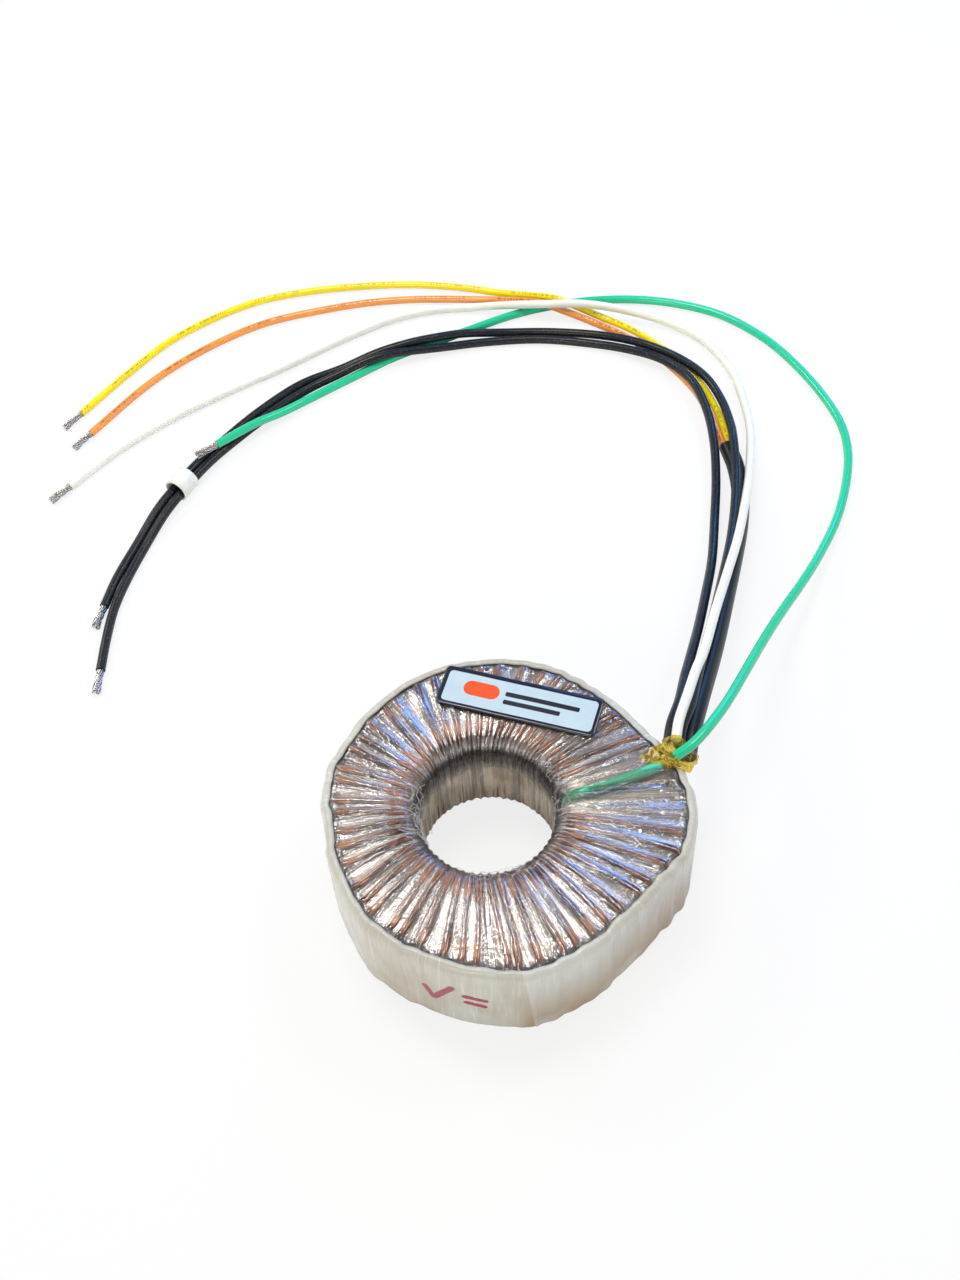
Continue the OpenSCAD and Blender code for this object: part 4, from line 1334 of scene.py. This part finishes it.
def tape_tube(loops):
    """Points and faces of a crumpled closed tube."""
    points = []
    for loop in loops:
        middle = sum(loop, Vector()) / len(loop)
        for p in loop:
            out = (p - middle).normalized()
            points.append(tuple(p + out * tape_crumple * noise.noise(p * tape_creases)))
    n = len(loops[0])
    faces = [(i * n + k, i * n + (k + 1) % n, (i + 1) * n + (k + 1) % n, (i + 1) * n + k)
             for i in range(len(loops) - 1) for k in range(n)]
    faces += [tuple(range(n))[::-1], tuple((len(loops) - 1) * n + k for k in range(n))]
    return points, faces


def facing_out(mesh):
    """Joins a mesh's doubled points and turns its faces outwards."""
    tidied = bmesh.new()
    tidied.from_mesh(mesh)
    bmesh.ops.remove_doubles(tidied, verts=tidied.verts, dist=0.000002)
    bmesh.ops.recalc_face_normals(tidied, faces=tidied.faces)
    tidied.to_mesh(mesh)
    tidied.free()


# The wide turn is round on the leads for a fifth of its length, and from there it is pressed flat.
tape_round = 0.2
wide_loops = []
narrow_loops = []
for share in [i / (tape_sections - 1) for i in range(tape_sections)]:
    ease = max((share - tape_round) / (1 - tape_round), 0) ** 0.6
    circles = [
        (x + (flat_x - x) * ease, z + (flat_z - z) * ease, (r + tape_thick) * (1 - ease) + tape_flat * ease)
        for (x, z), r, (flat_x, flat_z) in gathered_leads]
    origin = exit_place + exit_aim * (tape_over - (tape_over + tape_reach) * share)
    wide_loops.append(gathered_loop(circles, origin, exit_side, upward))
    green_circle = (0, 0, lead_d / 2 + tape_thick - green_taper * share)
    middle = (green_from + green_aim * tape_over).lerp(tail_line[-4], share)
    narrow_loops.append(gathered_loop([green_circle], middle, green_side, green_side.cross(green_aim)))
points, faces = tape_tube(wide_loops)
more_points, more_faces = tape_tube(narrow_loops)
faces += [tuple(k + len(points) for k in face) for face in more_faces]
tape_mesh = bpy.data.meshes.new("exit_tape_wrap")
tape_mesh.from_pydata(points + more_points, [], faces)
facing_out(tape_mesh)
exit_wrap = new_object("exit_tape_wrap", tape_mesh)

amber_film, shader = new_material("amber_film", roughness=0.1, coat_weight=0.8, coat_roughness=0.04)
folds = place_on(shader).mottled(420, 2, distortion=1.6)
set_shader(shader, base_color=folds.spread(0.36, 0.62).blend((0.22, 0.11, 0.004), (1.0, 0.8, 0.14)))
bumped(shader, folds, 0.9, 0.0009)
let_through(shader, folds.spread(0.3, 0.7, 0.12, 0.5), (0.95, 0.8, 0.36))
tape_mesh.materials.append(amber_film)
dress(exit_wrap, "exit_tape")


# ---- Marker ring ----
# A short white plastic tube is slipped over the two black leads to mark them.
# Its ends are cut square and a little rounded, and it stays bare.

marker_at = Vector((-0.1206, 0.1796, 0.00495))
marker_turn = 57.5
marker_long = 0.009
marker_bore = 0.00415
marker_wall = 0.00075
marker_round = 0.0002
marker_uneven = 0.00004
marker_sides = 72

half = marker_long / 2
skin = marker_bore + marker_wall
shoulder = half - marker_round
profile = [
    (-half, marker_bore + marker_round), (-half, skin - marker_round), (-shoulder, skin), (-half * 0.4, skin),
    (half * 0.4, skin), (shoulder, skin), (half, skin - marker_round), (half, marker_bore + marker_round),
    (shoulder, marker_bore), (0, marker_bore), (-shoulder, marker_bore),
]
marker_aim = turned(marker_turn).to_3d()
marker_side = marker_aim.cross(upward)
loops = []
for i in range(marker_sides):
    turn = 2 * math.pi * i / marker_sides
    out = marker_side * math.cos(turn) + upward * math.sin(turn)
    loops.append([marker_at + marker_aim * x + out * (r + marker_uneven * math.sin(3 * turn + x * 500))
                  for x, r in profile])
marker_tube = new_object("marker_tube", ring_skin("marker_tube", loops))
facing_out(marker_tube.data)
marker_white, shader = new_material("marker_white", roughness=0.38)
smudge = place_on(shader).mottled(420, 4)
set_shader(shader, base_color=smudge.blend((0.74, 0.74, 0.66), (0.9, 0.91, 0.83)))
bumped(shader, smudge, 0.3, 0.0002)
marker_tube.data.materials.append(marker_white)
dress(marker_tube, "marker_ring")


# ---- Cords ----
# What lies on each lead is listed, and each lead's length is worked out.
# All of them lie loose on the bench, and end bared.

def line_length(line):
    """The length of a line of points."""
    return sum((b - a).length for a, b in zip(line, line[1:]))


on_lead = {name: [tip] for name, tip in tips.items()} | {"sleeve": [exit_wrap]}
on_lead["black_b"].append(marker_tube)
for name, (piece, line, diameter) in (leads | {"sleeve": sleeve}).items():
    round(line_length(line), 3)
